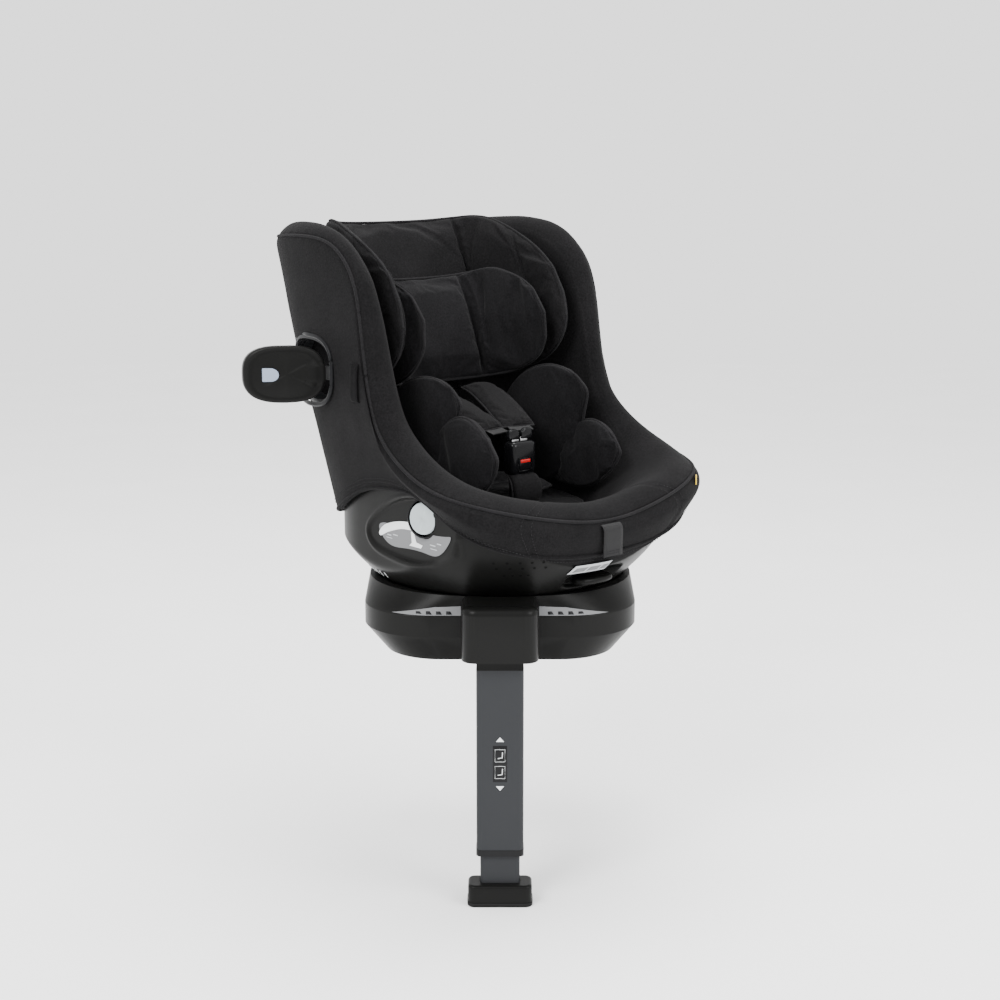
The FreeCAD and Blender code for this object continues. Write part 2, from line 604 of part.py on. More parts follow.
def pod_plate(side):
    """The inset side plate that carries the turning button and its symbol label."""
    plate = smooth_prism(pod_outline(side * 202, 0.985), Vector(side * 2.5, 0, 0))
    hole = cylinder(23.5, 40, (side * 190, -POD_F, POD_Z), (side, 0, 0))
    return plate.cut(hole)


def pod_label(side):
    pts = [(140, 190), (100, 186), (60, 186), (20, 186), (-18, 178), (-8, 164), (40, 157), (90, 158), (130, 170)]
    plate = smooth_prism([seat_point(side * 204.7, f, z) for f, z in pts], Vector(side * 0.5, 0, 0))
    return plate.cut(cylinder(28, 40, (side * 190, -POD_F, POD_Z), (side, 0, 0)))


def turn_button(side):
    disc = cylinder(23, 11, (side * 198, -POD_F, POD_Z), (side, 0, 0))
    return soften_edges(disc, 2, lambda e: abs(e.BoundBox.XMax + e.BoundBox.XMin) > 417.9)


def recline_lever():
    """Finger lever under the front edge of the bowl. It is pulled forward."""
    grip = seat_box(-32, 32, 186, 214, 107, 117)
    grip = soften_edges(grip, 4.5, lambda e: abs(e.BoundBox.XLength) > 50)
    stem = seat_box(-14, 14, 150, 190, 109, 113)
    return grip.fuse(stem)


def recline_frame():
    """Steel keel under the tub: two curved rails that ride on the cradle, cross ties and four uprights."""
    outer = Part.makeCylinder(255, 200, seat_point(-100, 0, BOWL_Z), Vector(1, 0, 0))
    inner = Part.makeCylinder(249, 200, seat_point(-100, 0, BOWL_Z), Vector(1, 0, 0))
    arc = outer.cut(inner)
    rails = [arc.common(seat_box(s * 60 - 11, s * 60 + 11, -142, 92, 30, 140)) for s in (-1, 1)]
    ties = [arc.common(seat_box(-60, 60, f, f + 16, 30, 140)) for f in (-132, 70)]
    posts = [seat_box(s * 60 - 8, s * 60 + 8, f, f + 16, 66, 149) for s in (-1, 1) for f in (-70, 54)]
    return fuse(rails + ties + posts).cut(outer_void())


def outer_void():
    """Everything outside the rails' sliding radius, in the rails' own span."""
    block = seat_box(-90, 90, -90, 90, 40, 100)
    return block.cut(Part.makeCylinder(255, 200, seat_point(-100, 0, BOWL_Z), Vector(1, 0, 0)))


# ---- headrest -----------------------------------------------------------------------------------
def back_prism(points, s0, s1):
    """A prism that runs up the backrest from s0 to s1. The points are (l, n)."""
    base = [back_point(l, s0, n) for l, n in points]
    return poly_prism(base, back_point(0, s1, 0) - back_point(0, s0, 0))


def profile_prism(points, half):
    """A prism across the seat. The points are (s, n)."""
    return poly_prism([back_point(-half, s, n) for s, n in points], Vector(2 * half, 0, 0))


def c_plan(half_back, back0, half_mid, mid, half_tip, tip, thick, face):
    """A C-shaped plan in (l, n): a back with two wings that run forward."""
    right = [(half_back, back0), (half_mid, mid), (half_tip, tip), (half_tip - thick, tip),
             (half_mid - thick, mid + 8), (half_mid - thick - 16, face + 8), (half_mid - thick - 34, face)]
    return right + [(-l, n) for l, n in reversed(right)]


HEAD_PROFILE = [(185, 18), (164, 100), (166, 165), (190, 208), (238, 228), (292, 223), (342, 198), (390, 140), (424, 82),
                (436, 18)]


def headrest_pad():
    plan = c_plan(104, 30, 146, 84, 168, 262, 28, HEAD_N)
    pad = back_prism(plan, 100, 450).common(profile_prism(HEAD_PROFILE, 200))
    return max(pad.Solids, key=lambda p: p.Volume)


def headrest_board():
    """Structural board behind the headrest pad."""
    board = back_prism([(-96, 22.5), (96, 22.5), (96, 29.4), (-96, 29.4)], 190, 382)
    slots = fuse([back_prism([(s * 42 - 8, 20), (s * 42 + 8, 20), (s * 42 + 8, 30), (s * 42 - 8, 30)], 196, 215)
                  for s in (-1, 1)])
    return board.cut(slots)


def headrest_handle():
    """Loop handle at the top of the headrest board, pulled to free the height catch."""
    loop = back_prism([(-34, 22.5), (34, 22.5), (34, 29.4), (-34, 29.4)], 386, 410)
    hole = back_prism([(-25, 15), (25, 15), (25, 35), (-25, 35)], 392, 403)
    return loop.cut(hole)


def headrest_rails():
    """Toothed guide rails on the backrest that the headrest board slides on."""
    rails = [back_prism([(s * 60 - 5, 17.3), (s * 60 + 5, 17.3), (s * 60 + 5, 21.9), (s * 60 - 5, 21.9)], 150, 400)
             for s in (-1, 1)]
    return Part.makeCompound(rails)


def head_pillow():
    plan = c_plan(80, HEAD_N + GAP, 130, 92, 134, 222, 34, 84)
    profile = [(170, 40), (150, 120), (150, 168), (186, 208), (246, 217), (296, 186), (330, 100), (330, 40)]
    pillow = back_prism(plan, 100, 400).common(profile_prism(profile, 200)).cut(headrest_pad())
    return max(pillow.Solids, key=lambda p: p.Volume)


# ---- padding and harness ------------------------------------------------------------------------
def back_pad():
    return back_prism([(-88, 1.0), (88, 1.0), (88, 16.5), (-88, 16.5)], 34, 430)


def seat_pad():
    ring_low = shrunk(INNER_LOW, 9)
    pts = [seat_point(l, max(f, -112), SOLE_Z + 14.6) for l, f, z in full_ring(ring_low)]
    return Part.Face(Part.makePolygon(pts + [pts[0]])).extrude(Vector(0, 0, 19))


def body_insert():
    """Infant insert: a seat part, a back part and two body wings."""
    low = seat_box(-100, 100, -110, 20, 193, 210)
    back = back_prism([(-106, 17.5), (106, 17.5), (106, 30), (-106, 30)], 20, 146)
    profile = [(-162, 262), (-95, 333), (-26, 371), (40, 369), (62, 335), (30, 276), (-20, 205), (-84, 193), (-136, 205)]
    thigh = [(-20, 205), (40, 214), (92, 232), (124, 262), (126, 292), (100, 318), (54, 322), (14, 276)]
    wings = [poly_prism([seat_point(s * 106, f, z) for f, z in outline], Vector(s * 28, 0, 0))
             for s in (-1, 1) for outline in (profile, thigh)]
    sides = [seat_box(min(s * 99, s * 107), max(s * 99, s * 107), -84, 20, 193, 230) for s in (-1, 1)]
    return fuse([low, back] + wings + sides)


def crotch_pad():
    pad = soften(seat_box(-31, 31, 23, 66, 192.6, 236), 6)
    return pad.cut(seat_box(-20.5, 20.5, 40, 46, 180, 240))


def crotch_strap():
    return seat_box(-19, 19, 42, 44, 192.6, 244)


def buckle_shape(half, f0, f1, z0, z1):
    return soften(seat_box(-half, half, f0, f1, z0, z1), 5)


def buckle_body():
    body = buckle_shape(23, 31, 56, 236.5, 286)
    window = seat_box(-11.5, 11.5, 44, 60, 243.5, 260.5)
    mouth = seat_box(-17, 17, 40, 46, 270, 290)
    strap = seat_box(-19.5, 19.5, 41.6, 44.4, 230, 244.6)
    return body.cut(window).cut(mouth).cut(strap)


def buckle_button():
    return soften_edges(seat_box(-11, 11, 49, 57.5, 244, 260), 1.5, lambda e: e.BoundBox.YMax < -57)


def buckle_tongue(side):
    blade = seat_box(min(side * 1.5, side * 15), max(side * 1.5, side * 15), 42, 44, 271, 292)
    head = soften(seat_box(min(side * 1, side * 22), max(side * 1, side * 22), 39, 47, 289, 303), 2)
    return blade.fuse(head)


PAD_PATH = [(-128, 344), (-92, 343), (-45, 332), (-2, 316), (33, 300)]


def strap_run(path, half, thick, lift):
    """A flat strap across the seat that follows the path (f, z), raised by lift."""
    top, bottom = [], []
    for i, (f, z) in enumerate(path):
        a, b = path[max(i - 1, 0)], path[min(i + 1, len(path) - 1)]
        d = math.hypot(b[0] - a[0], b[1] - a[1])
        nf, nz = -(b[1] - a[1]) / d, (b[0] - a[0]) / d
        bottom.append(seat_point(-half, f + nf * lift, z + nz * lift))
        top.append(seat_point(-half, f + nf * (lift + thick), z + nz * (lift + thick)))
    return poly_prism(bottom + top[::-1], Vector(2 * half, 0, 0))


def harness_side(shape, side):
    """Puts a strap drawn on the centre line in its place: splayed outwards towards the shoulder."""
    out = shape.copy()
    out.rotate(seat_point(0, 40, 0), Vector(0, 0, 1), -side * 13.0)
    out.translate(Vector(side * 15.5, 0, 0))
    return out


def shoulder_pad(side):
    pad = strap_run(PAD_PATH[:4], 24, 12, -6)
    hole = strap_run(PAD_PATH, 19.6, 2.4, -1.2)
    return harness_side(pad.cut(hole), side)


def shoulder_strap(side):
    path = [(-168, 334)] + PAD_PATH
    strap = strap_run(path, 19, 1.6, -0.8)
    strap = strap.cut(seat_box(-60, 60, 22, 80, 200, 400))
    return harness_side(strap, side)


def adjuster_housing():
    frame = soften(seat_box(-20, 20, 198, 222, 182, 206), 2)
    return frame.cut(seat_box(-14.5, 14.5, 206, 240, 191, 215)).cut(seat_box(-19, 19, 190, 240, 185.6, 188.4))


def adjuster_lever():
    return seat_box(-14, 14, 207, 221.5, 194, 206).fuse(cylinder(2, 28.6, (-14.3, -210, 197), (1, 0, 0)))


def adjuster_strap():
    """The pull strap that hangs over the seat's front edge."""
    run = seat_box(-18, 18, 196, 240.5, 186.2, 187.8)
    fall = seat_box(-18, 18, 239, 240.6, 150, 187.8)
    return run.fuse(fall)


def harness_holder(side):
    """Elastic loop on the tub's outer side that keeps a harness tongue out of the way."""
    return seat_box(min(side * 227, side * 230.5), max(side * 227, side * 230.5), -46, -32, 353, 403)


def back_hatch(envelope):
    """Moulded panel on the back of the seat, over the harness yoke, that follows the cover."""
    pts = [(-120, 238), (-92, 215), (92, 215), (120, 238), (128, 330), (120, 420), (-120, 420), (-128, 330)]
    plate = [seat_point(l, -197 - 0.372 * (z - 172), z) for l, z in pts]
    return max(poly_prism(plate, Vector(0, -60, 0)).cut(envelope).Solids, key=lambda p: p.BoundBox.YMax)


def main():
    os.makedirs("parts", exist_ok=True)
    export("base_lower_tray", base_lower_tray())
    export("base_upper_housing", base_upper_housing())
    export("leg_block", leg_block())
    export("leg_pin", leg_pin())
    export("base_labels", base_labels())
    export("base_chassis", base_chassis())
    export("turntable_race", turntable_race())
    export("anchor_guide_tubes", guide_tubes())
    for side, word in ((-1, "left"), (1, "right")):
        export("anchor_arm_" + word, anchor_arm(side))
        export("anchor_hook_" + word, anchor_hook(side))
        export("anchor_cover_" + word, anchor_cover(side))
        export("anchor_button_" + word, anchor_button(side))
    export("leg_outer_tube", leg_outer_tube())
    export("leg_knuckle", leg_knuckle())
    export("leg_collar", leg_collar())
    export("leg_button", leg_button())
    export("leg_inner_tube", leg_inner_tube())
    export("leg_foot", leg_foot())
    export("leg_foot_pad", leg_foot_pad())
    export("turntable_disc", turntable_disc())
    export("recline_cradle", recline_cradle(), True)
    envelope, core = tub_envelope(), tub_core()
    pockets = guard_pocket(8.5).fuse(mirrored(guard_pocket(8.5)))
    strap_slot = seat_box(-22, 22, 194, 260, 180, 208)
    cover = envelope.cut(core).cut(pockets).cut(strap_slot)
    button_wells = fuse([cylinder(24.5, 24, (s * 190, -POD_F, POD_Z), (s, 0, 0)) for s in (-1, 1)])
    core = core.cut(pockets).cut(strap_slot).cut(button_wells)
    export("seat_cover", max(cover.Solids, key=lambda p: p.Volume), True)
    export("seat_shell", max(core.Solids, key=lambda p: p.Volume), True)
    export("bowl_shell", bowl_shell(envelope), True)
    export("recline_frame", recline_frame(), True)
    export("recline_lever", recline_lever(), True)
    panel, bracket = guard_panel(envelope), guard_bracket()
    bezel = guard_bezel(envelope, panel)
    export("guard_panel_left", panel, True)
    export("guard_bezel_left", bezel.fuse(bracket), True)
    export("guard_panel_right", mirrored(swung(panel, -GUARD_OPEN, GUARD_HINGE)), True)
    export("guard_bezel_right", mirrored(bezel.fuse(bracket)), True)
    for side, word in ((1, "left"), (-1, "right")):
        export("turn_button_" + word, turn_button(side), True)
        export("shoulder_pad_" + word, shoulder_pad(side), True)
        export("buckle_tongue_" + word, buckle_tongue(side), True)
    for name, draw in (("pod_plates", pod_plate), ("pod_labels", pod_label), ("shoulder_straps", shoulder_strap),
                       ("harness_holders", harness_holder)):
        export(name, Part.makeCompound([draw(1), draw(-1)]), True)
    export("headrest_pad", headrest_pad(), True)
    export("headrest_board", headrest_board(), True)
    export("headrest_handle", headrest_handle(), True)
    export("headrest_rails", headrest_rails(), True)
    export("head_pillow", head_pillow(), True)
    export("back_pad", back_pad().cut(envelope), True)
    export("seat_pad", seat_pad(), True)
    export("body_insert", body_insert().cut(envelope), True)
    export("crotch_pad", crotch_pad(), True)
    export("crotch_strap", crotch_strap(), True)
    export("buckle_body", buckle_body(), True)
    export("buckle_button", buckle_button(), True)
    export("adjuster_housing", adjuster_housing(), True)
    export("adjuster_lever", adjuster_lever(), True)
    export("adjuster_strap", adjuster_strap(), True)
    export("back_hatch", back_hatch(envelope), True)


if __name__ == "__main__":
    main()
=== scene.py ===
"""Looks for the swivelling child car seat: fabric, plastics, labels, floor, lights and camera. Metres.

Seat pieces are drawn in the seat's own frame as (l, f, z) in millimetres, l to the seated child's left and
f forward, and put in the object's frame by seat().
"""
import json
import math

import bmesh
import bpy
import numpy as np
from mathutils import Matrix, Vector, noise
from mathutils.bvhtree import BVHTree


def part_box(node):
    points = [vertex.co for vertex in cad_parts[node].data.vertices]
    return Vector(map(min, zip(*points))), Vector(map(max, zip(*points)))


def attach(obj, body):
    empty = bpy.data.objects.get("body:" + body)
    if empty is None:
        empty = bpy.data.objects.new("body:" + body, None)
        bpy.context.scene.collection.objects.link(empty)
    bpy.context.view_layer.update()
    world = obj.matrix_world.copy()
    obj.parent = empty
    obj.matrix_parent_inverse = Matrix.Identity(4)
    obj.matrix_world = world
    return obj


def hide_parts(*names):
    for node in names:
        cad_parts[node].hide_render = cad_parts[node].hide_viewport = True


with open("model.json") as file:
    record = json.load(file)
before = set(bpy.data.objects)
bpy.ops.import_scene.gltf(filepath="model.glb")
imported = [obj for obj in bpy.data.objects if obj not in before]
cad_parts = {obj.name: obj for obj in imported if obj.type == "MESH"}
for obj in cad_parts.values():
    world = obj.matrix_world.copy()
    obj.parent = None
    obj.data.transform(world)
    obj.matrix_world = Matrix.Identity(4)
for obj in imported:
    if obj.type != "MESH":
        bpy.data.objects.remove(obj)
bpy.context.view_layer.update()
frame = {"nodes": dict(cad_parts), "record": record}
SWIVEL = math.radians(40.0)
LEAN = math.radians(23.0)
MM = 0.001
WRINKLE = 0.6                 # share of the noise that shows on padded forms
CLOTH_FRAMES = 14
BOWL_R, BOWL_Z = 286.0, 315.0  # the bowl's sphere: radius and height of its centre, mm
SIDES = ((1, "left"), (-1, "right"))
CS, SS = math.cos(SWIVEL), math.sin(SWIVEL)
LAT, FWD, UPZ = np.array([CS, SS, 0.0]), np.array([SS, -CS, 0.0]), np.array([0, 0, 1.0])
SEAT_AXES = (LAT, FWD, UPZ)


# ---- frame helpers ------------------------------------------------------------------------------
def seat(p):
    """Seat-frame points in mm, as an array of shape (..., 3), to the object's frame in metres."""
    p = np.asarray(p, float)
    l, f, z = p[..., 0], p[..., 1], p[..., 2]
    return np.stack([l * CS + f * SS, l * SS - f * CS, z], -1) * MM


def back(l, s, n):
    """A point s up the backrest and n forward of its inner plane, in the seat's frame."""
    l, s, n = np.broadcast_arrays(l, s, n)
    return np.stack([l, -146.0 - s * math.sin(LEAN) + n * math.cos(LEAN),
                     172.0 + s * math.cos(LEAN) + n * math.sin(LEAN)], -1).astype(float)


def catmull(points, t):
    """Points on the smooth curve through points, at t from 0 to 1."""
    pts = np.asarray(points, float)
    t = np.atleast_1d(t) * (len(pts) - 1)
    i = np.clip(t.astype(int), 0, len(pts) - 2)
    x = (t - i)[:, None]
    p = np.vstack([2 * pts[:1] - pts[1:2], pts, 2 * pts[-1:] - pts[-2:-1]])
    a, b, c, d = p[i], p[i + 1], p[i + 2], p[i + 3]
    return 0.5 * (2 * b + (c - a) * x + (2 * a - 5 * b + 4 * c - d) * x ** 2 + (3 * b - a - 3 * c + d) * x ** 3)


def curve(points, count):
    """count even points on the smooth curve through points."""
    return catmull(points, np.linspace(0, 1, count))


def closed_curve(points, count):
    return curve(points + points[:1], count + 1)[:-1]


def unit(v):
    return v / np.maximum(np.linalg.norm(v, axis=-1, keepdims=True), 1e-9)


def turn(count):
    """count even angles round a circle."""
    return np.linspace(0, 2 * np.pi, count, endpoint=False)


def sheet_curve(points, u):
    """Points on the plane curve, at every parameter of the array u."""
    return catmull(points, u.ravel()).reshape(*u.shape, 2)


# ---- mesh helpers -------------------------------------------------------------------------------
def mesh_object(name, verts, faces, mat, smooth=True):
    me = bpy.data.meshes.new(name)
    me.from_pydata([tuple(v) for v in verts], [], [tuple(int(i) for i in f) for f in faces])
    me.validate()
    if smooth:
        me.polygons.foreach_set("use_smooth", [True] * len(me.polygons))
    o = bpy.data.objects.new(name, me)
    bpy.context.scene.collection.objects.link(o)
    if mat:
        me.materials.append(mat)
    return o


def grid_faces(rows, cols, wrap):
    f = []
    for i in range(rows - 1):
        for j in range(cols if wrap else cols - 1):
            a, b = i * cols + j, i * cols + (j + 1) % cols
            f.append((a, b, b + cols, a + cols))
    return f


def normals_of(p, wrap=False):
    """Unit normals of a grid of points."""
    if wrap:
        dv = np.roll(p, -1, 1) - np.roll(p, 1, 1)
    else:
        dv = np.gradient(p, axis=1)
    du = np.gradient(p, axis=0)
    return unit(np.cross(du, dv))


def tube(name, path, radius, mat, closed=False, sides=8):
    """A tube along the path, a list of points in metres."""
    p = np.asarray(path, float)
    tan = unit((np.roll(p, -1, 0) - np.roll(p, 1, 0)) if closed else np.gradient(p, axis=0))
    ref = np.tile(np.array([0, 0, 1.0]), (len(p), 1))
    ref[np.abs(np.sum(ref * tan, 1)) > 0.98] = (0.3, 0.9, 0.1)
    a = unit(np.cross(tan, ref))
    b = np.cross(a, tan)
    ang = turn(sides)
    v = p[:, None] + radius * (np.cos(ang)[None, :, None] * a[:, None] + np.sin(ang)[None, :, None] * b[:, None])
    faces = grid_faces(len(p), sides, True)
    verts = list(v.reshape(-1, 3))
    if closed:
        m = (len(p) - 1) * sides
        faces += [(m + j, m + (j + 1) % sides, (j + 1) % sides, j) for j in range(sides)]
    else:
        faces += [tuple(range(sides - 1, -1, -1)), tuple((len(p) - 1) * sides + j for j in range(sides))]
    return mesh_object(name, verts, faces, mat)


def stitches(name, path, mat, length=0.0036, gap=0.0016, radius=0.00045):
    """A row of thread stitches along the path, in metres, each a small spindle."""
    p = np.asarray(path, float)
    d = np.r_[0, np.cumsum(np.linalg.norm(np.diff(p, axis=0), axis=1))]
    starts = np.arange(0, d[-1] - length, length + gap)
    at = lambda s: np.stack([np.interp(s, d, p[:, k]) for k in range(3)], -1)
    verts, faces = [], []
    for s in starts:
        a, c = at(s), at(s + length)
        axis = unit(c - a)
        side = unit(np.cross(axis, (0.21, 0.35, 0.91)))
        other = np.cross(axis, side)
        k = len(verts)
        verts += [a, c]
        for t, r in ((0.25, 1.0), (0.75, 1.0)):
            for q in range(4):
                an = q * math.pi / 2
                verts.append(a + (c - a) * t + radius * r * (math.cos(an) * side + math.sin(an) * other))
        for q in range(4):
            e = (q + 1) % 4
            faces += [(k, k + 2 + e, k + 2 + q), (k + 2 + q, k + 2 + e, k + 6 + e, k + 6 + q),
                      (k + 1, k + 6 + q, k + 6 + e)]
    return mesh_object(name, verts, faces, mat)


def box_mesh(name, centre, size, axes, mat, bevel, segments):
    """A bevelled block. axes are three unit vectors."""
    c, ax = np.asarray(centre, float), [np.asarray(a, float) for a in axes]
    verts = []
    for sz in (-1, 1):
        for sx, sy in ((-1, -1), (1, -1), (1, 1), (-1, 1)):
            verts.append(c + sx * ax[0] * size[0] / 2 + sy * ax[1] * size[1] / 2 + sz * ax[2] * size[2] / 2)
    faces = [(3, 2, 1, 0), (4, 5, 6, 7), (0, 1, 5, 4), (1, 2, 6, 5), (2, 3, 7, 6), (3, 0, 4, 7)]
    o = mesh_object(name, verts, faces, mat)
    m = o.modifiers.new("edge", "BEVEL")
    m.width, m.segments, m.limit_method = bevel, segments, "NONE"
    return o


def outline_slab(name, outline, depth, direction, mat, bevel=0.0008, segments=3):
    """A slab with the closed outline (points in metres), extruded by depth along direction."""
    a = np.asarray(outline, float)
    b = a + np.asarray(direction, float) * depth
    n = len(a)
    faces = [tuple(range(n - 1, -1, -1)), tuple(range(n, 2 * n))]
    faces += [(i, (i + 1) % n, n + (i + 1) % n, n + i) for i in range(n)]
    o = mesh_object(name, list(a) + list(b), faces, mat)
    m = o.modifiers.new("edge", "BEVEL")
    m.width, m.segments, m.limit_method, m.angle_limit = bevel, segments, "ANGLE", math.radians(35)
    return o


def lathe(name, centre, axis, profile, mat):
    """A turned piece: profile is a list of (radius, height) in metres along axis."""
    steps = 72
    ax = unit(np.asarray(axis, float))
    a = unit(np.cross(ax, (0.0, 0.0, 1.0)))
    b = np.cross(ax, a)
    ang = turn(steps)
    v = [np.asarray(centre) + h * ax + r * (math.cos(t) * a + math.sin(t) * b) for r, h in profile for t in ang]
    return mesh_object(name, v, grid_faces(len(profile), steps, True) + [tuple(range(steps))] +
                       [tuple((len(profile) - 1) * steps + i for i in range(steps - 1, -1, -1))], mat)


def puffy(name, fn, nu, nv, front, rear, mat, k=5.0, channels=(), seed=0.0, corner=0.5):
    """A padded form: the sheet fn(u, v), in the seat's frame, swollen by front and rear mm, closed at its edges.

    channels are sewn lines (axis, position, half width, depth from 0 to 1). Returns the object, with a vertex
    group "pin" on its edges and channels."""
    u, v = np.meshgrid(np.linspace(0, 1, nu), np.linspace(0, 1, nv), indexing="ij")
    x, y = 2 * u - 1, 2 * v - 1
    p = fn(0.5 + x * np.sqrt(1 - y * y * corner / 2) / 2, 0.5 + y * np.sqrt(1 - x * x * corner / 2) / 2)
    n = normals_of(p)
    edge = lambda x: np.clip(1 - np.abs(2 * x - 1) ** k, 0, 1) ** (1 / 2.2)
    w = edge(u) * edge(v)
    pin = (w < 0.05).astype(float)
    for axis, pos, half, depth in channels:
        g = np.exp(-(((u if axis == "u" else v) - pos) / half) ** 2)
        w = w * (1 - depth * g)
        pin = np.maximum(pin, (g > 0.6).astype(float))
    wr = np.array([[noise.noise(Vector((a * 0.021, b * 0.021, c * 0.021 + seed))) for a, b, c in row] for row in p])
    fr = p + n * ((front * w) * (1 + 0.10 * wr * WRINKLE))[..., None]
    re = p - n * (rear * w)[..., None]
    top = seat(fr).reshape(-1, 3)
    ring = [(i, 0) for i in range(nu)] + [(nu - 1, j) for j in range(1, nv)] + \
           [(i, nv - 1) for i in range(nu - 2, -1, -1)] + [(0, j) for j in range(nv - 2, 0, -1)]
    index = {}
    verts = list(top)
    for i in range(nu):
        for j in range(nv):
            if 0 < i < nu - 1 and 0 < j < nv - 1:
                index[i, j] = len(verts)
                verts.append(seat(re[i, j]))
            else:
                index[i, j] = i * nv + j
    cells = [(i, j) for i in range(nu - 1) for j in range(nv - 1)]
    faces = [(i * nv + j, i * nv + j + 1, (i + 1) * nv + j + 1, (i + 1) * nv + j) for i, j in cells]
    faces += [(index[i, j], index[i + 1, j], index[i + 1, j + 1], index[i, j + 1]) for i, j in cells]
    o = mesh_object(name, verts, faces, mat)
    bm = bmesh.new()
    bm.from_mesh(o.data)
    bmesh.ops.recalc_face_normals(bm, faces=bm.faces)
    bm.to_mesh(o.data)
    bm.free()
    g = o.vertex_groups.new(name="pin")
    for i in range(nu):
        for j in range(nv):
            if pin[i, j] > 0:
                g.add(list({i * nv + j, index[i, j]}), 1.0, "REPLACE")
    o["edge_ring"] = [float(x) for q in ring for x in top[q[0] * nv + q[1]]]
    return o


def edge_piping(o, name, radius, mat):
    ring = np.array(o["edge_ring"]).reshape(-1, 3)
    del o["edge_ring"]
    return tube(name, ring, radius, mat, closed=True)


def simulate(jobs):
    """Cloth with a little pressure on padded pieces, pinned at their seams.

    jobs are (object, pressure, spare cloth, cap)."""
    sc = bpy.context.scene
    sc.frame_start, sc.frame_end = 1, CLOTH_FRAMES
    for o, pressure, spare, cap in jobs:
        m = o.modifiers.new("Cloth", "CLOTH")
        s = m.settings
        s.quality, s.mass = 5, 0.25
        s.tension_stiffness = s.compression_stiffness = 12
        s.shear_stiffness, s.bending_stiffness = 5, 0.4
        s.use_pressure, s.uniform_pressure_force = True, pressure
        s.shrink_min = s.shrink_max = -spare
        s.vertex_group_mass = "pin"
        s.effector_weights.gravity = 0
        m.collision_settings.use_collision = False
        m.collision_settings.use_self_collision = False
        m.point_cache.frame_start, m.point_cache.frame_end = 1, CLOTH_FRAMES
    for f in range(1, CLOTH_FRAMES + 1):
        sc.frame_set(f)
    dg = bpy.context.evaluated_depsgraph_get()
    for o, _, _, cap in jobs:
        ev = o.evaluated_get(dg).to_mesh()
        new = np.empty(len(ev.vertices) * 3)
        ev.vertices.foreach_get("co", new)
        old = np.empty_like(new)
        o.data.vertices.foreach_get("co", old)
        new, old = new.reshape(-1, 3), old.reshape(-1, 3)
        move = new - old
        d = np.linalg.norm(move, axis=1, keepdims=True)
        move *= np.minimum(1, cap / np.maximum(d, 1e-9))
        o.modifiers.clear()
        o.data.vertices.foreach_set("co", (old + move).ravel())
        o.data.update()
        o.vertex_groups.clear()
    sc.frame_set(1)


# ---- materials ----------------------------------------------------------------------------------
def nodes_for(name):
    m = bpy.data.materials.new(name)
    m.use_nodes = True
    nt = m.node_tree
    coord = nt.nodes.new("ShaderNodeTexCoord").outputs["Object"]
    return m, nt, nt.nodes, nt.links, nt.nodes["Principled BSDF"], coord


def add_noise(nt, coord, scale, detail=4.0):
    n = nt.nodes.new("ShaderNodeTexNoise")
    n.inputs["Scale"].default_value, n.inputs["Detail"].default_value = scale, detail
    n.inputs["Roughness"].default_value = 0.55
    nt.links.new(coord, n.inputs["Vector"])
    return n


def ramp(nt, fac, stops):
    r = nt.nodes.new("ShaderNodeValToRGB")
    r.color_ramp.elements[0].position, r.color_ramp.elements[0].color = stops[0][0], (*stops[0][1], 1)
    r.color_ramp.elements[1].position, r.color_ramp.elements[1].color = stops[-1][0], (*stops[-1][1], 1)
    for pos, col in stops[1:-1]:
        e = r.color_ramp.elements.new(pos)
        e.color = (*col, 1)
    nt.links.new(fac, r.inputs["Fac"])
    return r


def bump(nt, height, strength, distance, prev=None):
    b = nt.nodes.new("ShaderNodeBump")
    b.inputs["Strength"].default_value, b.inputs["Distance"].default_value = strength, distance
    nt.links.new(height, b.inputs["Height"])
    if prev:
        nt.links.new(prev, b.inputs["Normal"])
    return b.outputs["Normal"]


def blend(nt, a, b, factor):
    mix = nt.nodes.new("ShaderNodeMix")
    mix.data_type = "FLOAT"
    mix.inputs["Factor"].default_value = factor
    nt.links.new(a, mix.inputs["A"])
    nt.links.new(b, mix.inputs["B"])
    return mix.outputs["Result"]


def spread(nt, value, low, high, socket):
    """Drives the socket from low to high with the value."""
    r = nt.nodes.new("ShaderNodeMapRange")
    r.inputs["To Min"].default_value, r.inputs["To Max"].default_value = low, high
    nt.links.new(value, r.inputs["Value"])
    nt.links.new(r.outputs["Result"], socket)


def fabric(name, dark, light, cell=850.0, sheen=0.25, weave=0.55):
    """Knitted fabric: cells about a millimetre across, a soft melange and slow unevenness."""
    m, nt, nd, lk, bs, co = nodes_for(name)
    vor = nd.new("ShaderNodeTexVoronoi")
    vor.inputs["Scale"].default_value = cell
    lk.new(co, vor.inputs["Vector"])
    mel = add_noise(nt, co, 420.0, 2.0)
    slow = add_noise(nt, co, 14.0, 3.0)
    col = ramp(nt, blend(nt, mel.outputs["Fac"], slow.outputs["Fac"], 0.35), [(0.35, dark), (0.68, light)])
    lk.new(col.outputs["Color"], bs.inputs["Base Color"])
    n1 = bump(nt, vor.outputs["Distance"], weave, 0.0006)
    n2 = bump(nt, slow.outputs["Fac"], 0.25, 0.004, n1)
    lk.new(n2, bs.inputs["Normal"])
    bs.inputs["Roughness"].default_value = 0.88
    bs.inputs["Sheen Weight"].default_value = sheen
    bs.inputs["Sheen Roughness"].default_value = 0.5
    bs.inputs["Specular IOR Level"].default_value = 0.06
    return m


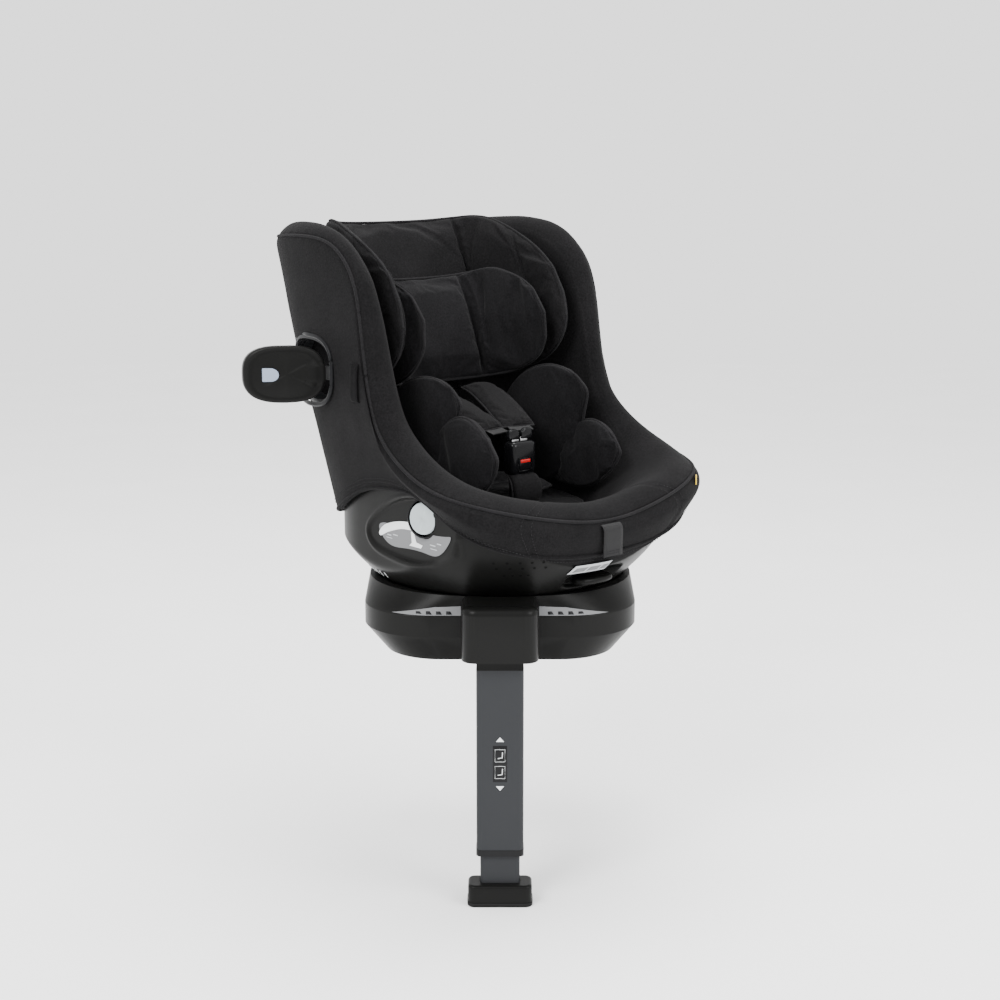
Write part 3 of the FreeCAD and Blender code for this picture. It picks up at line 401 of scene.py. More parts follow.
def webbing(name, dark, light):
    """Woven belt: diagonal ribs across a fine weave."""
    m, nt, nd, lk, bs, co = nodes_for(name)
    wv = nd.new("ShaderNodeTexWave")
    wv.wave_type, wv.bands_direction = "BANDS", "DIAGONAL"
    wv.inputs["Scale"].default_value, wv.inputs["Distortion"].default_value = 190.0, 0.6
    lk.new(co, wv.inputs["Vector"])
    no = add_noise(nt, co, 600.0, 2.0)
    woven = blend(nt, wv.outputs["Fac"], no.outputs["Fac"], 0.4)
    lk.new(ramp(nt, woven, [(0.2, dark), (0.8, light)]).outputs["Color"], bs.inputs["Base Color"])
    lk.new(bump(nt, woven, 0.6, 0.0005), bs.inputs["Normal"])
    bs.inputs["Roughness"].default_value = 0.62
    bs.inputs["Specular IOR Level"].default_value = 0.2
    bs.inputs["Sheen Weight"].default_value = 0.02
    return m


def plastic(name, colour, rough=0.42, grain=0.12, worn=0.25, cell=1500.0, coat=0.0):
    """Moulded plastic: fine spark texture, slightly uneven gloss, lighter where edges rub."""
    m, nt, nd, lk, bs, co = nodes_for(name)
    fine = add_noise(nt, co, cell, 2.0)
    slow = add_noise(nt, co, 9.0, 4.0)
    geo = nd.new("ShaderNodeNewGeometry")
    light = tuple(min(1, c * (1 + worn) + 0.012 * worn) for c in colour)
    edge = ramp(nt, geo.outputs["Pointiness"], [(0.49, colour), (0.56, light)])
    shade = nd.new("ShaderNodeMix")
    shade.data_type, shade.blend_type = "RGBA", "MULTIPLY"
    shade.inputs["Factor"].default_value = 0.22
    tone = ramp(nt, slow.outputs["Fac"], [(0.3, (0.75, 0.75, 0.75)), (0.7, (1, 1, 1))])
    lk.new(edge.outputs["Color"], shade.inputs["A"])
    lk.new(tone.outputs["Color"], shade.inputs["B"])
    lk.new(shade.outputs["Result"], bs.inputs["Base Color"])
    spread(nt, slow.outputs["Fac"], rough - 0.05, rough + 0.07, bs.inputs["Roughness"])
    lk.new(bump(nt, fine.outputs["Fac"], grain, 0.0003), bs.inputs["Normal"])
    bs.inputs["Specular IOR Level"].default_value = 0.075
    if coat:
        bs.inputs["Coat Weight"].default_value = coat
        bs.inputs["Coat Roughness"].default_value = 0.12
    return m


def metal(name, colour):
    """Plated steel, drawn along its length."""
    m, nt, nd, lk, bs, co = nodes_for(name)
    mp = nd.new("ShaderNodeMapping")
    mp.inputs["Scale"].default_value = (1, 1, 30)
    lk.new(co, mp.inputs["Vector"])
    no = add_noise(nt, mp.outputs["Vector"], 40.0, 5.0)
    tone = ramp(nt, no.outputs["Fac"], [(0.3, tuple(c * 0.85 for c in colour)), (0.7, colour)])
    lk.new(tone.outputs["Color"], bs.inputs["Base Color"])
    spread(nt, no.outputs["Fac"], 0.26, 0.42, bs.inputs["Roughness"])
    lk.new(bump(nt, no.outputs["Fac"], 0.05, 0.0003), bs.inputs["Normal"])
    bs.inputs["Metallic"].default_value = 1.0
    return m


M = dict(
    cover=fabric("cover_knit", (0.0028, 0.0027, 0.0029), (0.0080, 0.0076, 0.0081), sheen=0.02),
    insert=fabric("insert_knit", (0.0029, 0.0028, 0.0031), (0.0088, 0.0084, 0.0092), cell=1000.0, sheen=0.03),
    lining=fabric("lining_knit", (0.0024, 0.0023, 0.0025), (0.0062, 0.0060, 0.0064), cell=1100.0, sheen=0.01),
    piping=fabric("piping", (0.0065, 0.0063, 0.0067), (0.013, 0.0125, 0.0133), cell=1600.0, sheen=0.02, weave=0.3),
    thread=fabric("thread", (0.012, 0.0117, 0.0123), (0.022, 0.0215, 0.0225), cell=3000.0, sheen=0.02, weave=0.1),
    webbing=webbing("belt_webbing", (0.0022, 0.0022, 0.0024), (0.0085, 0.0082, 0.0088)),
    dark=plastic("shell_plastic", (0.0036, 0.0036, 0.0034), 0.34, 0.10),
    base=plastic("base_plastic", (0.0030, 0.0030, 0.0028), 0.32, 0.10),
    gloss=plastic("gloss_plastic", (0.0035, 0.0035, 0.0040), 0.18, 0.02, 0.1, coat=0.14),
    grey=plastic("grey_plastic", (0.0085, 0.0088, 0.0095), 0.38, 0.08),
    lightgrey=plastic("button_plastic", (0.36, 0.40, 0.41), 0.36, 0.05, 0.1),
    blue_grey=plastic("guard_button_plastic", (0.22, 0.26, 0.33), 0.36, 0.05, 0.1),
    label=plastic("label_film", (0.15, 0.152, 0.156), 0.5, 0.03, 0.0),
    label_light=plastic("label_print", (0.40, 0.41, 0.42), 0.5, 0.03, 0.0),
    white=plastic("white_print", (0.72, 0.74, 0.74), 0.45, 0.03, 0.0),
    red=plastic("red_button", (0.36, 0.010, 0.010), 0.25, 0.03, 0.1, coat=0.4),
    yellow=fabric("yellow_tag", (0.62, 0.40, 0.02), (0.75, 0.52, 0.04), cell=1600.0, weave=0.2),
    steel=metal("zinc_steel", (0.56, 0.56, 0.57)),
    tube=plastic("tube_paint", (0.0150, 0.0157, 0.0172), 0.38, 0.06, 0.3, cell=2200.0),
    rubber=plastic("rubber", (0.0075, 0.0075, 0.0075), 0.72, 0.25, 0.2),
    foam=plastic("structure_foam", (0.010, 0.010, 0.0105), 0.7, 0.4, 0.1, cell=400.0),
    # painted shade: near-black matte colour for the vent discs, standing in for the shade inside the holes
    hole=plastic("vent_painted_shade", (0.0015, 0.0015, 0.0015), 0.8, 0.02, 0.0),
)
SLOT_LOOK = {"fabric": "cover", "fabric_insert": "insert", "webbing": "webbing", "plastic_dark": "base",
             "plastic_black": "gloss", "plastic_grey": "grey", "label_grey": "label", "button_grey": "lightgrey",
             "button_red": "red", "steel": "steel", "painted": "tube", "rubber": "rubber", "foam": "foam"}
for sub in frame["record"]["subparts"]:
    node = frame["nodes"][sub["node"]]
    look = M[SLOT_LOOK[sub["material_slot"]]]
    if not node.material_slots:
        node.data.materials.append(look)
    for ms in node.material_slots:
        ms.material = look


def piece(o, body, slot, *nodes):
    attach(o, body)
    if nodes:
        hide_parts(*nodes)
    return o


# ---- tub rings: (l, f, z) on the left half, back centre to front centre --------------------------
HEM = [(0, -190, 172), (95, -188, 170), (172, -165, 172), (205, -110, 195), (214, -60, 220), (217, -20, 233),
       (219, 15, 238), (221, 50, 241), (222, 85, 240), (221, 122, 228), (211, 162, 202), (176, 200, 178),
       (105, 223, 160), (0, 229, 152)]
FLANK = [(0, -286, 430), (105, -282, 430), (188, -254, 425), (217, -176, 420), (224, -100, 405), (226, -50, 380),
         (228, -20, 345), (229, 5, 310), (232, 35, 275), (236, 85, 252), (238, 145, 239), (213, 203, 212),
         (122, 232, 190), (0, 237, 170)]
SEAM = [(0, -338, 556), (104, -334, 560), (190, -298, 566), (222, -200, 572), (223, -106, 568), (223, -54, 524),
        (224, -38, 460), (224, -28, 390), (226, -4, 315), (232, 62, 270), (236, 140, 250), (211, 200, 237),
        (120, 228, 213), (0, 233, 194)]
CREST = [(0, -318, 570), (90, -312, 576), (166, -280, 592), (200, -190, 600), (205, -102, 587), (204, -40, 535),
         (204, -14, 462), (202, 2, 392), (203, 28, 336), (207, 98, 293), (200, 160, 268), (150, 196, 250),
         (75, 208, 234), (0, 210, 226)]
INNER_TOP = [(0, -300, 552), (80, -298, 555), (145, -272, 570), (174, -190, 578), (182, -106, 562), (183, -50, 512),
             (183, -24, 448), (182, -8, 385), (180, 16, 325), (172, 78, 274), (152, 128, 244), (112, 156, 226),
             (58, 168, 214), (0, 170, 210)]
INNER_MID = [(0, -243, 400), (80, -242, 400), (140, -228, 400), (170, -170, 395), (177, -110, 380), (177, -68, 355),
             (175, -32, 325), (170, 0, 295), (160, 35, 262), (145, 78, 234), (124, 116, 214), (90, 142, 202),
             (46, 152, 196), (0, 154, 194)]
INNER_LOW = [(0, -146, 172), (60, -144, 172), (108, -128, 172), (130, -95, 172), (140, -62, 172), (143, -30, 172),
             (143, 0, 172), (139, 28, 172), (130, 54, 172), (114, 78, 172), (92, 98, 172), (64, 112, 172),
             (33, 119, 172), (0, 121, 172)]


def closed_ring(half):
    h = np.array(half, float)
    other = h[-2:0:-1] * (-1, 1, 1)
    loop = np.vstack([h, other])
    mid = (-np.roll(loop, 1, 0) + 9 * loop + 9 * np.roll(loop, -1, 0) - np.roll(loop, -2, 0)) / 16
    return np.stack([loop, mid], 1).reshape(-1, 3)


def toward(a, b, distance):
    a, b = np.array(a, float), np.array(b, float)
    return a + unit(b - a) * distance


def shrunk(half, inset, z=None, dz=0.0):
    h = np.array(half, float)
    r = np.hypot(h[:, 0], h[:, 1])[:, None]
    h[:, :2] *= (r - inset) / r
    h[:, 2] = h[:, 2] + dz if z is None else z
    return h


def clamped_basis(n, t):
    """Cubic B-spline weights of n control rows at parameters t from 0 to 1, and each row's own parameter."""
    knots = np.r_[[0.0] * 4, np.arange(1, n - 3), [n - 3.0] * 4]
    x = np.clip(t * (n - 3), 0, n - 3 - 1e-9)[:, None]
    b = ((x >= knots[None, :-1]) & (x < knots[None, 1:])).astype(float)
    for d in (1, 2, 3):
        left, right = knots[d:-1] - knots[:-d - 1], knots[d + 1:] - knots[1:-d]
        wl = np.where(left > 0, (x - knots[None, :-d - 1]) / np.where(left > 0, left, 1), 0)
        wr = np.where(right > 0, (knots[None, d + 1:] - x) / np.where(right > 0, right, 1), 0)
        b = wl * b[:, :-1] + wr * b[:, 1:]
    own = np.array([knots[i + 1:i + 4].mean() for i in range(n)]) / (n - 3)
    return b, own


def around_basis(n, m):
    """Periodic cubic weights of n control points at m even parameters."""
    t = np.arange(m) * n / m
    i, x = t.astype(int), t % 1
    w = np.stack([(1 - x) ** 3, 3 * x ** 3 - 6 * x ** 2 + 4, -3 * x ** 3 + 3 * x ** 2 + 3 * x + 1, x ** 3], 1) / 6
    b = np.zeros((m, n))
    for k in range(4):
        b[np.arange(m), (i + k - 1) % n] += w[:, k]
    return b


WALL_ROWS = [HEM, toward(HEM, FLANK, 12), toward(FLANK, HEM, 60), FLANK, toward(SEAM, FLANK, 14), SEAM, CREST,
             INNER_TOP, toward(INNER_TOP, INNER_MID, 14), INNER_MID, toward(INNER_LOW, INNER_MID, 20), INNER_LOW]
GRID = np.stack([closed_ring(r) for r in WALL_ROWS])
AROUND = 360
RING_POINTS = 26                       # points of a ring above, both halves
SIDE_SEAMS = (11.75, RING_POINTS - 11.75)
TUB_MIDDLE = (0, -30, 380)
GUARD_F, GUARD_Z = -165, 386           # middle of the guards and of their openings


def wall_points(t):
    """Points of the tub's wall at parameters t, from hem to floor, all the way round."""
    b, _ = clamped_basis(len(WALL_ROWS), np.atleast_1d(np.asarray(t, float)))
    return np.einsum("tr,rcx,mc->tmx", b, GRID, around_basis(GRID.shape[1], AROUND))


OWN = clamped_basis(len(WALL_ROWS), np.array([0.5]))[1]
T_SEAM, T_CREST, T_TOP = OWN[5], OWN[6], OWN[7]


def build_cover():
    t = np.concatenate([np.linspace(0, 0.08, 9)[:-1], np.linspace(0.08, T_SEAM, 60)[:-1],
                        np.linspace(T_SEAM, T_TOP, 22)[:-1], np.linspace(T_TOP, 1, 40)])
    p = wall_points(t)
    n = normals_of(p, True)
    out = np.sign(np.sum(n[30] * (p[30] - TUB_MIDDLE), -1).mean())
    n = n * out
    tt = t[:, None]
    groove = 2.2 * np.exp(-((tt - T_SEAM) / 0.006) ** 2)
    puff = 2.0 * np.clip(np.sin(np.pi * np.clip((tt - T_SEAM) / (T_TOP - T_SEAM), 0, 1)), 0, 1) ** 0.8
    v = np.arange(AROUND) / AROUND * RING_POINTS
    for sv in SIDE_SEAMS:
        groove = groove + 1.6 * np.exp(-((v[None] - sv) / 0.05) ** 2) * (tt < T_TOP)
    wr = np.zeros(p.shape[:2])
    for i in range(p.shape[0]):
        for j in range(p.shape[1]):
            a, b, c = p[i, j] * 0.012
            wr[i, j] = noise.noise(Vector((a, b, c))) + 0.5 * noise.noise(Vector((a * 2.3, b * 2.3, c * 2.3 + 7)))
    near_seam = np.exp(-((tt - T_SEAM) / 0.05) ** 2)
    pucker = 0.35 * near_seam * np.sin(v[None] * 26.0 + 3 * wr)
    p = p + n * (puff - groove + 0.9 * wr * (tt < 0.7) + pucker)[..., None]
    under = [shrunk(HEM, 60, 158), shrunk(HEM, 40, None, -3), shrunk(HEM, 16, None, 2), shrunk(HEM, 3, None, 0.5)]
    m = around_basis(GRID.shape[1], AROUND)
    low = np.stack([m @ closed_ring(r) for r in under])
    rows = np.vstack([low, p])
    verts = seat(rows).reshape(-1, 3)
    faces = grid_faces(len(rows), AROUND, True)
    faces += [tuple(range(AROUND - 1, -1, -1)), tuple((len(rows) - 1) * AROUND + i for i in range(AROUND))]
    o = mesh_object("seat_cover_fabric", verts, faces, M["cover"])
    return o, seat(p), t


def oval(cf, cz, rf, rz, l, count=48):
    a = turn(count)
    c, s = np.cos(a), np.sin(a)
    f = cf + rf * np.sign(c) * np.abs(c) ** 0.72
    z = cz + rz * np.sign(s) * np.abs(s) ** 0.72
    return np.stack([np.full(count, float(l)), f, z], -1)


def cut(o, cutter):
    m = o.modifiers.new("cut", "BOOLEAN")
    m.operation, m.solver, m.object = "DIFFERENCE", "EXACT", cutter
    dg = bpy.context.evaluated_depsgraph_get()
    me = bpy.data.meshes.new_from_object(o.evaluated_get(dg))
    o.modifiers.clear()
    o.data = me
    bpy.data.objects.remove(cutter)


cover, cover_pts, cover_t = build_cover()
for side in (1, -1):
    ring0 = seat(oval(GUARD_F, GUARD_Z, 58 + 6, 42 + 6, side * 176))
    c = outline_slab("cutter", ring0, 0.07, seat([side, 0, 0]) / MM, None, 0.0)
    c.modifiers.clear()
    cut(cover, c)
piece(cover, "seat", "fabric", "seat_cover")


def row_near(t):
    return int(np.argmin(np.abs(cover_t - t)))


def cover_line(t, lift):
    """A line round the tub at parameter t, lifted off the fabric by lift mm."""
    p = wall_points([t - 0.002, t, t + 0.002])
    n = normals_of(p, True)[1]
    sign = np.sign(np.sum(n * (p[1] - TUB_MIDDLE), -1).mean())
    return seat(p[1] + n * sign * lift)


piece(tube("piping_rim", cover_line(T_SEAM, 0.3), 0.0024, M["piping"], closed=True), "seat", "fabric")
hem_line = wall_points([0.0])[0]
piece(tube("hem_binding", seat(hem_line + (0, 0, 0.5)), 0.0028, M["cover"], closed=True), "seat", "fabric")


def hem_row(mm):
    """The line on the cover mm up from its hem."""
    a = wall_points(np.linspace(0, 0.25, 120))
    d = np.concatenate([[np.zeros(AROUND)], np.cumsum(np.linalg.norm(np.diff(a, axis=0), axis=2), 0)])
    i = np.argmax(d > mm, axis=0)
    p = a[i, np.arange(AROUND)]
    n = np.stack([p[:, 0], p[:, 1], np.zeros(AROUND)], -1)
    return p + unit(n) * 1.3


for k, mm in enumerate((9.0, 14.0)):
    row = hem_row(mm)
    piece(stitches(f"hem_stitch_{k}", seat(np.vstack([row, row[:1]])), M["thread"]), "seat", "fabric")
for k, sv in enumerate(SIDE_SEAMS):
    col = int(round(sv / RING_POINTS * AROUND))
    rows = [i for i, t in enumerate(cover_t) if 0.03 < t < T_CREST]
    for d in (-1, 1):
        line = cover_pts[rows, (col + d) % AROUND]
        line = line + (line - cover_pts[rows].mean(1)) * 0.004
        piece(stitches(f"panel_stitch_{k}_{d + 1}", line, M["thread"]), "seat", "fabric")


# ---- bowl ---------------------------------------------------------------------------------------
POD = [(158, 202), (124, 226), (82, 233), (40, 227), (-4, 207), (-42, 174), (-28, 150), (28, 141), (90, 143),
       (143, 162)]
POD_FACE = 204.4              # l of the flat side plates


def inside_depth(f, z, poly):
    """Signed distance, in mm, from points to the smooth closed outline: positive inside."""
    loop = closed_curve(poly, 120)
    a, b = loop, np.roll(loop, -1, 0)
    q = np.stack([f, z], -1)[..., None, :]
    ab = b - a
    t = np.clip(np.sum((q - a) * ab, -1) / np.sum(ab * ab, -1), 0, 1)
    d = np.linalg.norm(q - (a + t[..., None] * ab), axis=-1).min(-1)
    fy, zy = f[..., None], z[..., None]
    rise = np.where(b[:, 1] != a[:, 1], b[:, 1] - a[:, 1], 1e-9)
    crosses = ((a[:, 1] > zy) != (b[:, 1] > zy)) & (fy < (b[:, 0] - a[:, 0]) * (zy - a[:, 1]) / rise + a[:, 0])
    return np.where(crosses.sum(-1) % 2 == 1, d, -d)


def build_bowl():
    """The bowl's skin. Its opening is longer at the rear, where the edge swings down as the seat reclines."""
    m = 480
    top = around_basis(GRID.shape[1], m) @ closed_ring(shrunk(HEM, 9.0))
    r = np.hypot(top[:, 0], top[:, 1])
    zs = BOWL_Z - np.sqrt(np.maximum(BOWL_R ** 2 - r ** 2, 0))
    back_way, side_way = -top[:, 1] / r, top[:, 0] / r
    opening = np.maximum(132.0, 62 * back_way + np.sqrt(112.0 ** 2 - (62 * side_way) ** 2))
    rows = []
    for k in np.linspace(0, 1, 60):
        z = top[:, 2] + 3 - k * (top[:, 2] + 3 - zs)
        rows.append(np.stack([top[:, 0], top[:, 1], z], -1))
    for k in np.linspace(0, 1, 40)[1:]:
        rr = r + (opening - r) * k
        z = BOWL_Z - np.sqrt(BOWL_R ** 2 - rr ** 2)
        rows.append(np.stack([top[:, 0] * rr / r, top[:, 1] * rr / r, z], -1))
    p = np.array(rows)
    for _ in range(7):
        p[50:70] = (p[49:69] + p[51:71] + 2 * p[50:70]) / 4
    side = np.abs(p[..., 0]) > 120
    d = inside_depth(p[..., 1], p[..., 2], POD)
    w = np.clip((d + 1.0) / 5.0, 0, 1) * side
    w = w * w * (3 - 2 * w)
    target = np.sign(p[..., 0]) * POD_FACE
    p[..., 0] = p[..., 0] + (target - p[..., 0]) * w
    lip = np.exp(-((d + 3.0) / 2.2) ** 2) * side * 1.2
    p[..., 0] += np.sign(p[..., 0]) * lip
    recess = [(40, 102), (40, 128), (-40, 128), (-40, 102)]        # behind the recline grip
    w = np.clip((inside_depth(p[..., 0], p[..., 2], recess) + 1) / 6, 0, 1) * (p[..., 1] > 120)
    p[..., 1] -= 14 * w * w * (3 - 2 * w)
    inner = p[-1] * (0.985, 0.985, 1) + (0, 0, 4)
    v = np.vstack([p.reshape(-1, 3), inner])
    o = mesh_object("bowl_skin", seat(v), grid_faces(len(p) + 1, m, True), M["dark"])
    sol = o.modifiers.new("wall", "SOLIDIFY")
    sol.thickness, sol.offset = 0.003, -1
    return o


piece(build_bowl(), "seat", "plastic_dark", "bowl_shell", "pod_plates")

POD_MARKS = [(6, 170, 9, 1.6), (20, 172, 11, 1.6), (6, 166, 13, 1.2), (104, 172, 12, 1.6), (118, 176, 9, 1.6),
             (106, 167, 14, 1.2)]                                # middle f and z, width, height

for side, word in SIDES:
    ax = seat([side, 0, 0]) / MM
    tilt = seat([side * 0.955, 0.28, 0.10]) / MM
    at = seat([side * 200.0, 85, 206])
    cap = [(0.0001, 0.0022), (0.0216, 0.0022), (0.0220, 0.0085), (0.0214, 0.0100), (0.0202, 0.0108),
           (0.0186, 0.0104), (0.012, 0.0096), (0.0001, 0.0092)]
    piece(lathe("turn_button_cap_" + word, at, tilt, cap, M["lightgrey"]), "turn_release_" + word, "button_grey",
          "turn_button_" + word)
    rim = [(0.0250, 0.002), (0.0275, 0.002), (0.0272, 0.0078), (0.0260, 0.0086), (0.0250, 0.0078), (0.0250, 0.002)]
    piece(lathe("turn_button_rim_" + word, at, tilt, rim, M["gloss"]), "seat", "plastic_black")
    flag = [(62, 196), (30, 193), (-2, 184), (-17, 172), (-14, 166), (4, 174), (34, 183), (62, 186)]
    strip = closed_curve(flag, 48)
    flat = [seat([side * 205.3, f, z]) for f, z in (strip if side > 0 else strip[::-1])]
    piece(outline_slab("pod_strip_" + word, flat, 0.0004, ax, M["white"], 0.0001, 1), "seat", "label_grey")
    for k, (f, z, w, h) in enumerate(POD_MARKS):
        mark = box_mesh(f"pod_mark_{word}_{k}", seat([side * 205.4, f, z]), (w * MM, 0.0005, h * MM),
                        (FWD, ax, UPZ),
                        M["label_light"], 0.0001, 1)
        piece(mark, "seat", "label_grey")
    icon = [(52, 163), (78, 163), (82, 168), (68, 170), (62, 184), (56, 183), (58, 168)]
    flat = [seat([side * 205.3, f, z]) for f, z in (icon if side > 0 else icon[::-1])]
    piece(outline_slab("pod_icon_" + word, flat, 0.0005, ax, M["white"], 0.0001, 1), "seat", "label_grey")


# ---- headrest, pillow, insert --------------------------------------------------------------------
def c_sheet(plan, middle, half, rounded, tip):
    """A sheet that follows a C-shaped plan (l, n). Its middle line and half height are tables by n, and its wings
    round off from n = rounded to n = tip."""
    pts = plan + [(-l, n) for l, n in plan[-2::-1]]
    a, b = curve(middle, 80), curve(half, 80)

    def fn(u, v):
        c = sheet_curve(pts, u)
        n = c[..., 1]
        end = np.sqrt(np.clip(1 - np.clip((n - rounded) / (tip - rounded), 0, 1) ** 2.3, 0.03, 1))
        s = np.interp(n, a[:, 0], a[:, 1]) + (2 * v - 1) * np.interp(n, b[:, 0], b[:, 1]) * end
        return back(c[..., 0], s, n)
    return fn


HEAD_CURVE = [(153, 224), (152, 190), (148, 142), (137, 100), (116, 64), (75, 45), (0, 40)]
HEAD_MIDDLE = [(18, 311), (60, 302), (105, 290), (165, 264), (226, 244)]
HEAD_HALF = [(18, 123), (60, 126), (105, 123), (165, 110), (226, 100)]
head = puffy("headrest_cushion", c_sheet(HEAD_CURVE, HEAD_MIDDLE, HEAD_HALF, 105, 226), 151, 60, 16, 13, M["cover"],
             corner=0.12,
             channels=[("u", 0.335, 0.006, 0.75), ("u", 0.665, 0.006, 0.75), ("u", 0.125, 0.004, 0.4),
                       ("u", 0.875, 0.004, 0.4)])
PILLOW_CURVE = [(113, 216), (116, 172), (110, 124), (95, 94), (60, 76), (0, 70)]
PILLOW_MIDDLE = [(40, 251), (120, 240), (168, 228), (218, 218)]
PILLOW_HALF = [(40, 79), (120, 84), (168, 80), (218, 76)]
pillow = puffy("head_pillow_cushion", c_sheet(PILLOW_CURVE, PILLOW_MIDDLE, PILLOW_HALF, 105, 218), 131, 48, 21, 14,
               M["insert"],
               channels=[("u", 0.345, 0.014, 0.85), ("u", 0.655, 0.014, 0.85)], k=3.0, corner=0.2)


def bolster_sheet(side, low, high, l_low, l_high):
    def fn(u, v):
        a = sheet_curve(low, u)
        b = sheet_curve(high, u)
        q = a + (b - a) * v[..., None]
        return np.stack([side * (l_low + (l_high - l_low) * v), q[..., 0], q[..., 1]], -1)
    return fn


WING = ([(-150, 212), (-88, 198), (-16, 208), (34, 254), (56, 314)],
        [(-160, 266), (-124, 324), (-76, 364), (-10, 384), (60, 372)], 121, 116)
THIGH = ([(-26, 204), (34, 204), (90, 218), (138, 256)], [(-2, 274), (28, 318), (82, 334), (140, 304)], 119, 124)
LOW_THIGH = ([(-24, 200), (30, 202), (80, 214), (124, 244)],
             [(-4, 256), (24, 292), (74, 306), (126, 282)], 119, 124)


def flat_seat(u, v):
    return np.stack([(2 * u - 1) * 102, -112 + 134 * v, 201 + 4 * (2 * u - 1) ** 2 + 0 * v], -1)


insert_parts = [
    puffy(f"insert_{part}_{word}", bolster_sheet(side, *shape), 46, 38, 17, 13, M["insert"], k=2.6, seed=side * 3,
          corner=0.72)
    for part, shape, word, side in (("wing", WING, "left", 1), ("wing", WING, "right", -1),
                                    ("thigh", LOW_THIGH, "left", 1), ("thigh", THIGH, "right", -1))
] + [
    puffy("insert_back", lambda u, v: back((2 * u - 1) * 104, 24 + 124 * v, 23.5), 40, 34, 7, 5, M["insert"],
          seed=9),
    puffy("insert_seat", flat_seat, 44, 40, 8, 7, M["insert"], seed=11,
          channels=[("v", 0.5, 0.02, 0.5)]),
]


def seat_pad_sheet(u, v):
    f = -108 + 216 * v
    half = np.interp(f, [-108, -95, -62, -30, 0, 28, 54, 78, 98, 108],
                     [96, 118, 128, 131, 131, 128, 119, 103, 80, 62])
    return np.stack([(2 * u - 1) * half, f, 182.5 + 6 * np.clip((f - 20) / 90, 0, 1) ** 2], -1)


seat_cushion = puffy("seat_cushion", seat_pad_sheet, 50, 44, 9, 8.5, M["lining"], seed=13,
                     channels=[("v", 0.62, 0.012, 0.5)])
back_cushion = puffy("back_cushion", lambda u, v: back((2 * u - 1) * 86, 36 + 390 * v, 9), 34, 70, 7, 6,
                     M["lining"], seed=17)


def crotch_sheet(u, v):
    c = sheet_curve([(57, 196), (60, 212), (55, 228), (40, 237)], v)
    return np.stack([(2 * u - 1) * (29 - 4 * v), c[..., 0], c[..., 1]], -1)


crotch = puffy("crotch_cushion", crotch_sheet, 26, 26, 9, 8, M["cover"], k=4.0)

PAD_PATH = [(-130, 343), (-92, 339), (-45, 325), (-4, 308), (14, 300)]


def harness(side, l, f, z):
    """The harness layout of part.py: turned about (0, 40) towards the shoulder, then moved outwards."""
    a = -side * math.radians(13.0)
    x, y = l, -(f - 40)
    return np.stack([x * math.cos(a) - y * math.sin(a) + side * 17.5, -(x * math.sin(a) + y * math.cos(a)) + 40, z],
                    -1)


def pad_sheet(side):
    def fn(u, v):
        c = sheet_curve(PAD_PATH, u)
        l = (2 * v - 1) * 27.5
        return harness(side, l, c[..., 0], c[..., 1] + 0.5 - 2.0 * (2 * v - 1) ** 2)
    return fn


pads = {w: puffy("shoulder_cushion_" + w, pad_sheet(s), 50, 24, 7.5, 7.0, M["cover"], k=4.0, seed=20 + s,
                 corner=0.25)
        for s, w in SIDES}

simulate([(head, 3.0, 0.03, 0.005), (pillow, 3.5, 0.05, 0.007), (seat_cushion, 2.0, 0.03, 0.003),
          (crotch, 2.0, 0.03, 0.003)]
         + [(o, 3.0, 0.045, 0.005) for o in insert_parts[:4]] + [(o, 2.0, 0.04, 0.0035) for o in insert_parts[4:]]
         + [(o, 2.0, 0.03, 0.002) for o in pads.values()])

for o, body, slot, nodes, fill in (
        [(head, "headrest", "fabric", ["headrest_pad"], 0.8),
         (pillow, "headrest", "fabric_insert", ["head_pillow"], 0.8),
         (seat_cushion, "seat", "fabric", ["seat_pad"], 0.8), (back_cushion, "seat", "fabric", ["back_pad"], 0.8),
         (crotch, "seat", "fabric", ["crotch_pad"], 0.9)]
        + [(o, "seat", "fabric_insert", ["body_insert"], 0.8) for o in insert_parts]
        + [(o, "seat", "fabric", ["shoulder_pad_" + w], 0.9) for w, o in pads.items()]):
    ring = edge_piping(o, o.name + "_piping", 0.0015 if o.name.startswith(("shoulder", "crotch")) else 0.0021,
                       M["piping"] if o is not back_cushion else M["lining"])
    piece(o, body, slot, *nodes)
    piece(ring, body, slot)
    m = o.modifiers.new("smooth", "SUBSURF")
    m.levels = m.render_levels = 1


# ---- harness -------------------------------------------------------------------------------------
def ribbon(name, centre, across, half, thick, mat):
    """A flat strap: centre line and unit across vectors in metres."""
    c, a = np.asarray(centre, float), np.asarray(across, float)
    n = unit(np.cross(unit(np.gradient(c, axis=0)), a))
    upper = [(x, 0.5) for x in (-0.97, -0.6, 0, 0.6, 0.97)]
    prof = [(-1, 0.0), *upper, (1, 0.0), *((x, -y) for x, y in upper[::-1])]
    v = [c[i] + a[i] * half * x + n[i] * thick * y for i in range(len(c)) for x, y in prof]
    k = len(prof)
    ends = [tuple(range(k)), tuple((len(c) - 1) * k + j for j in range(k - 1, -1, -1))]
    return mesh_object(name, v, grid_faces(len(c), k, True) + ends, mat)


for side, word in SIDES:
    c = curve([(-168, 334)] + PAD_PATH + [(26, 296)], 60)
    mid = harness(side, np.zeros(60), c[:, 0], c[:, 1])
    edge = harness(side, np.ones(60), c[:, 0], c[:, 1])
    piece(ribbon("shoulder_webbing_" + word, seat(mid), seat(edge - mid) / MM, 0.0185, 0.0015, M["webbing"]),
          "seat", "webbing", "shoulder_straps")

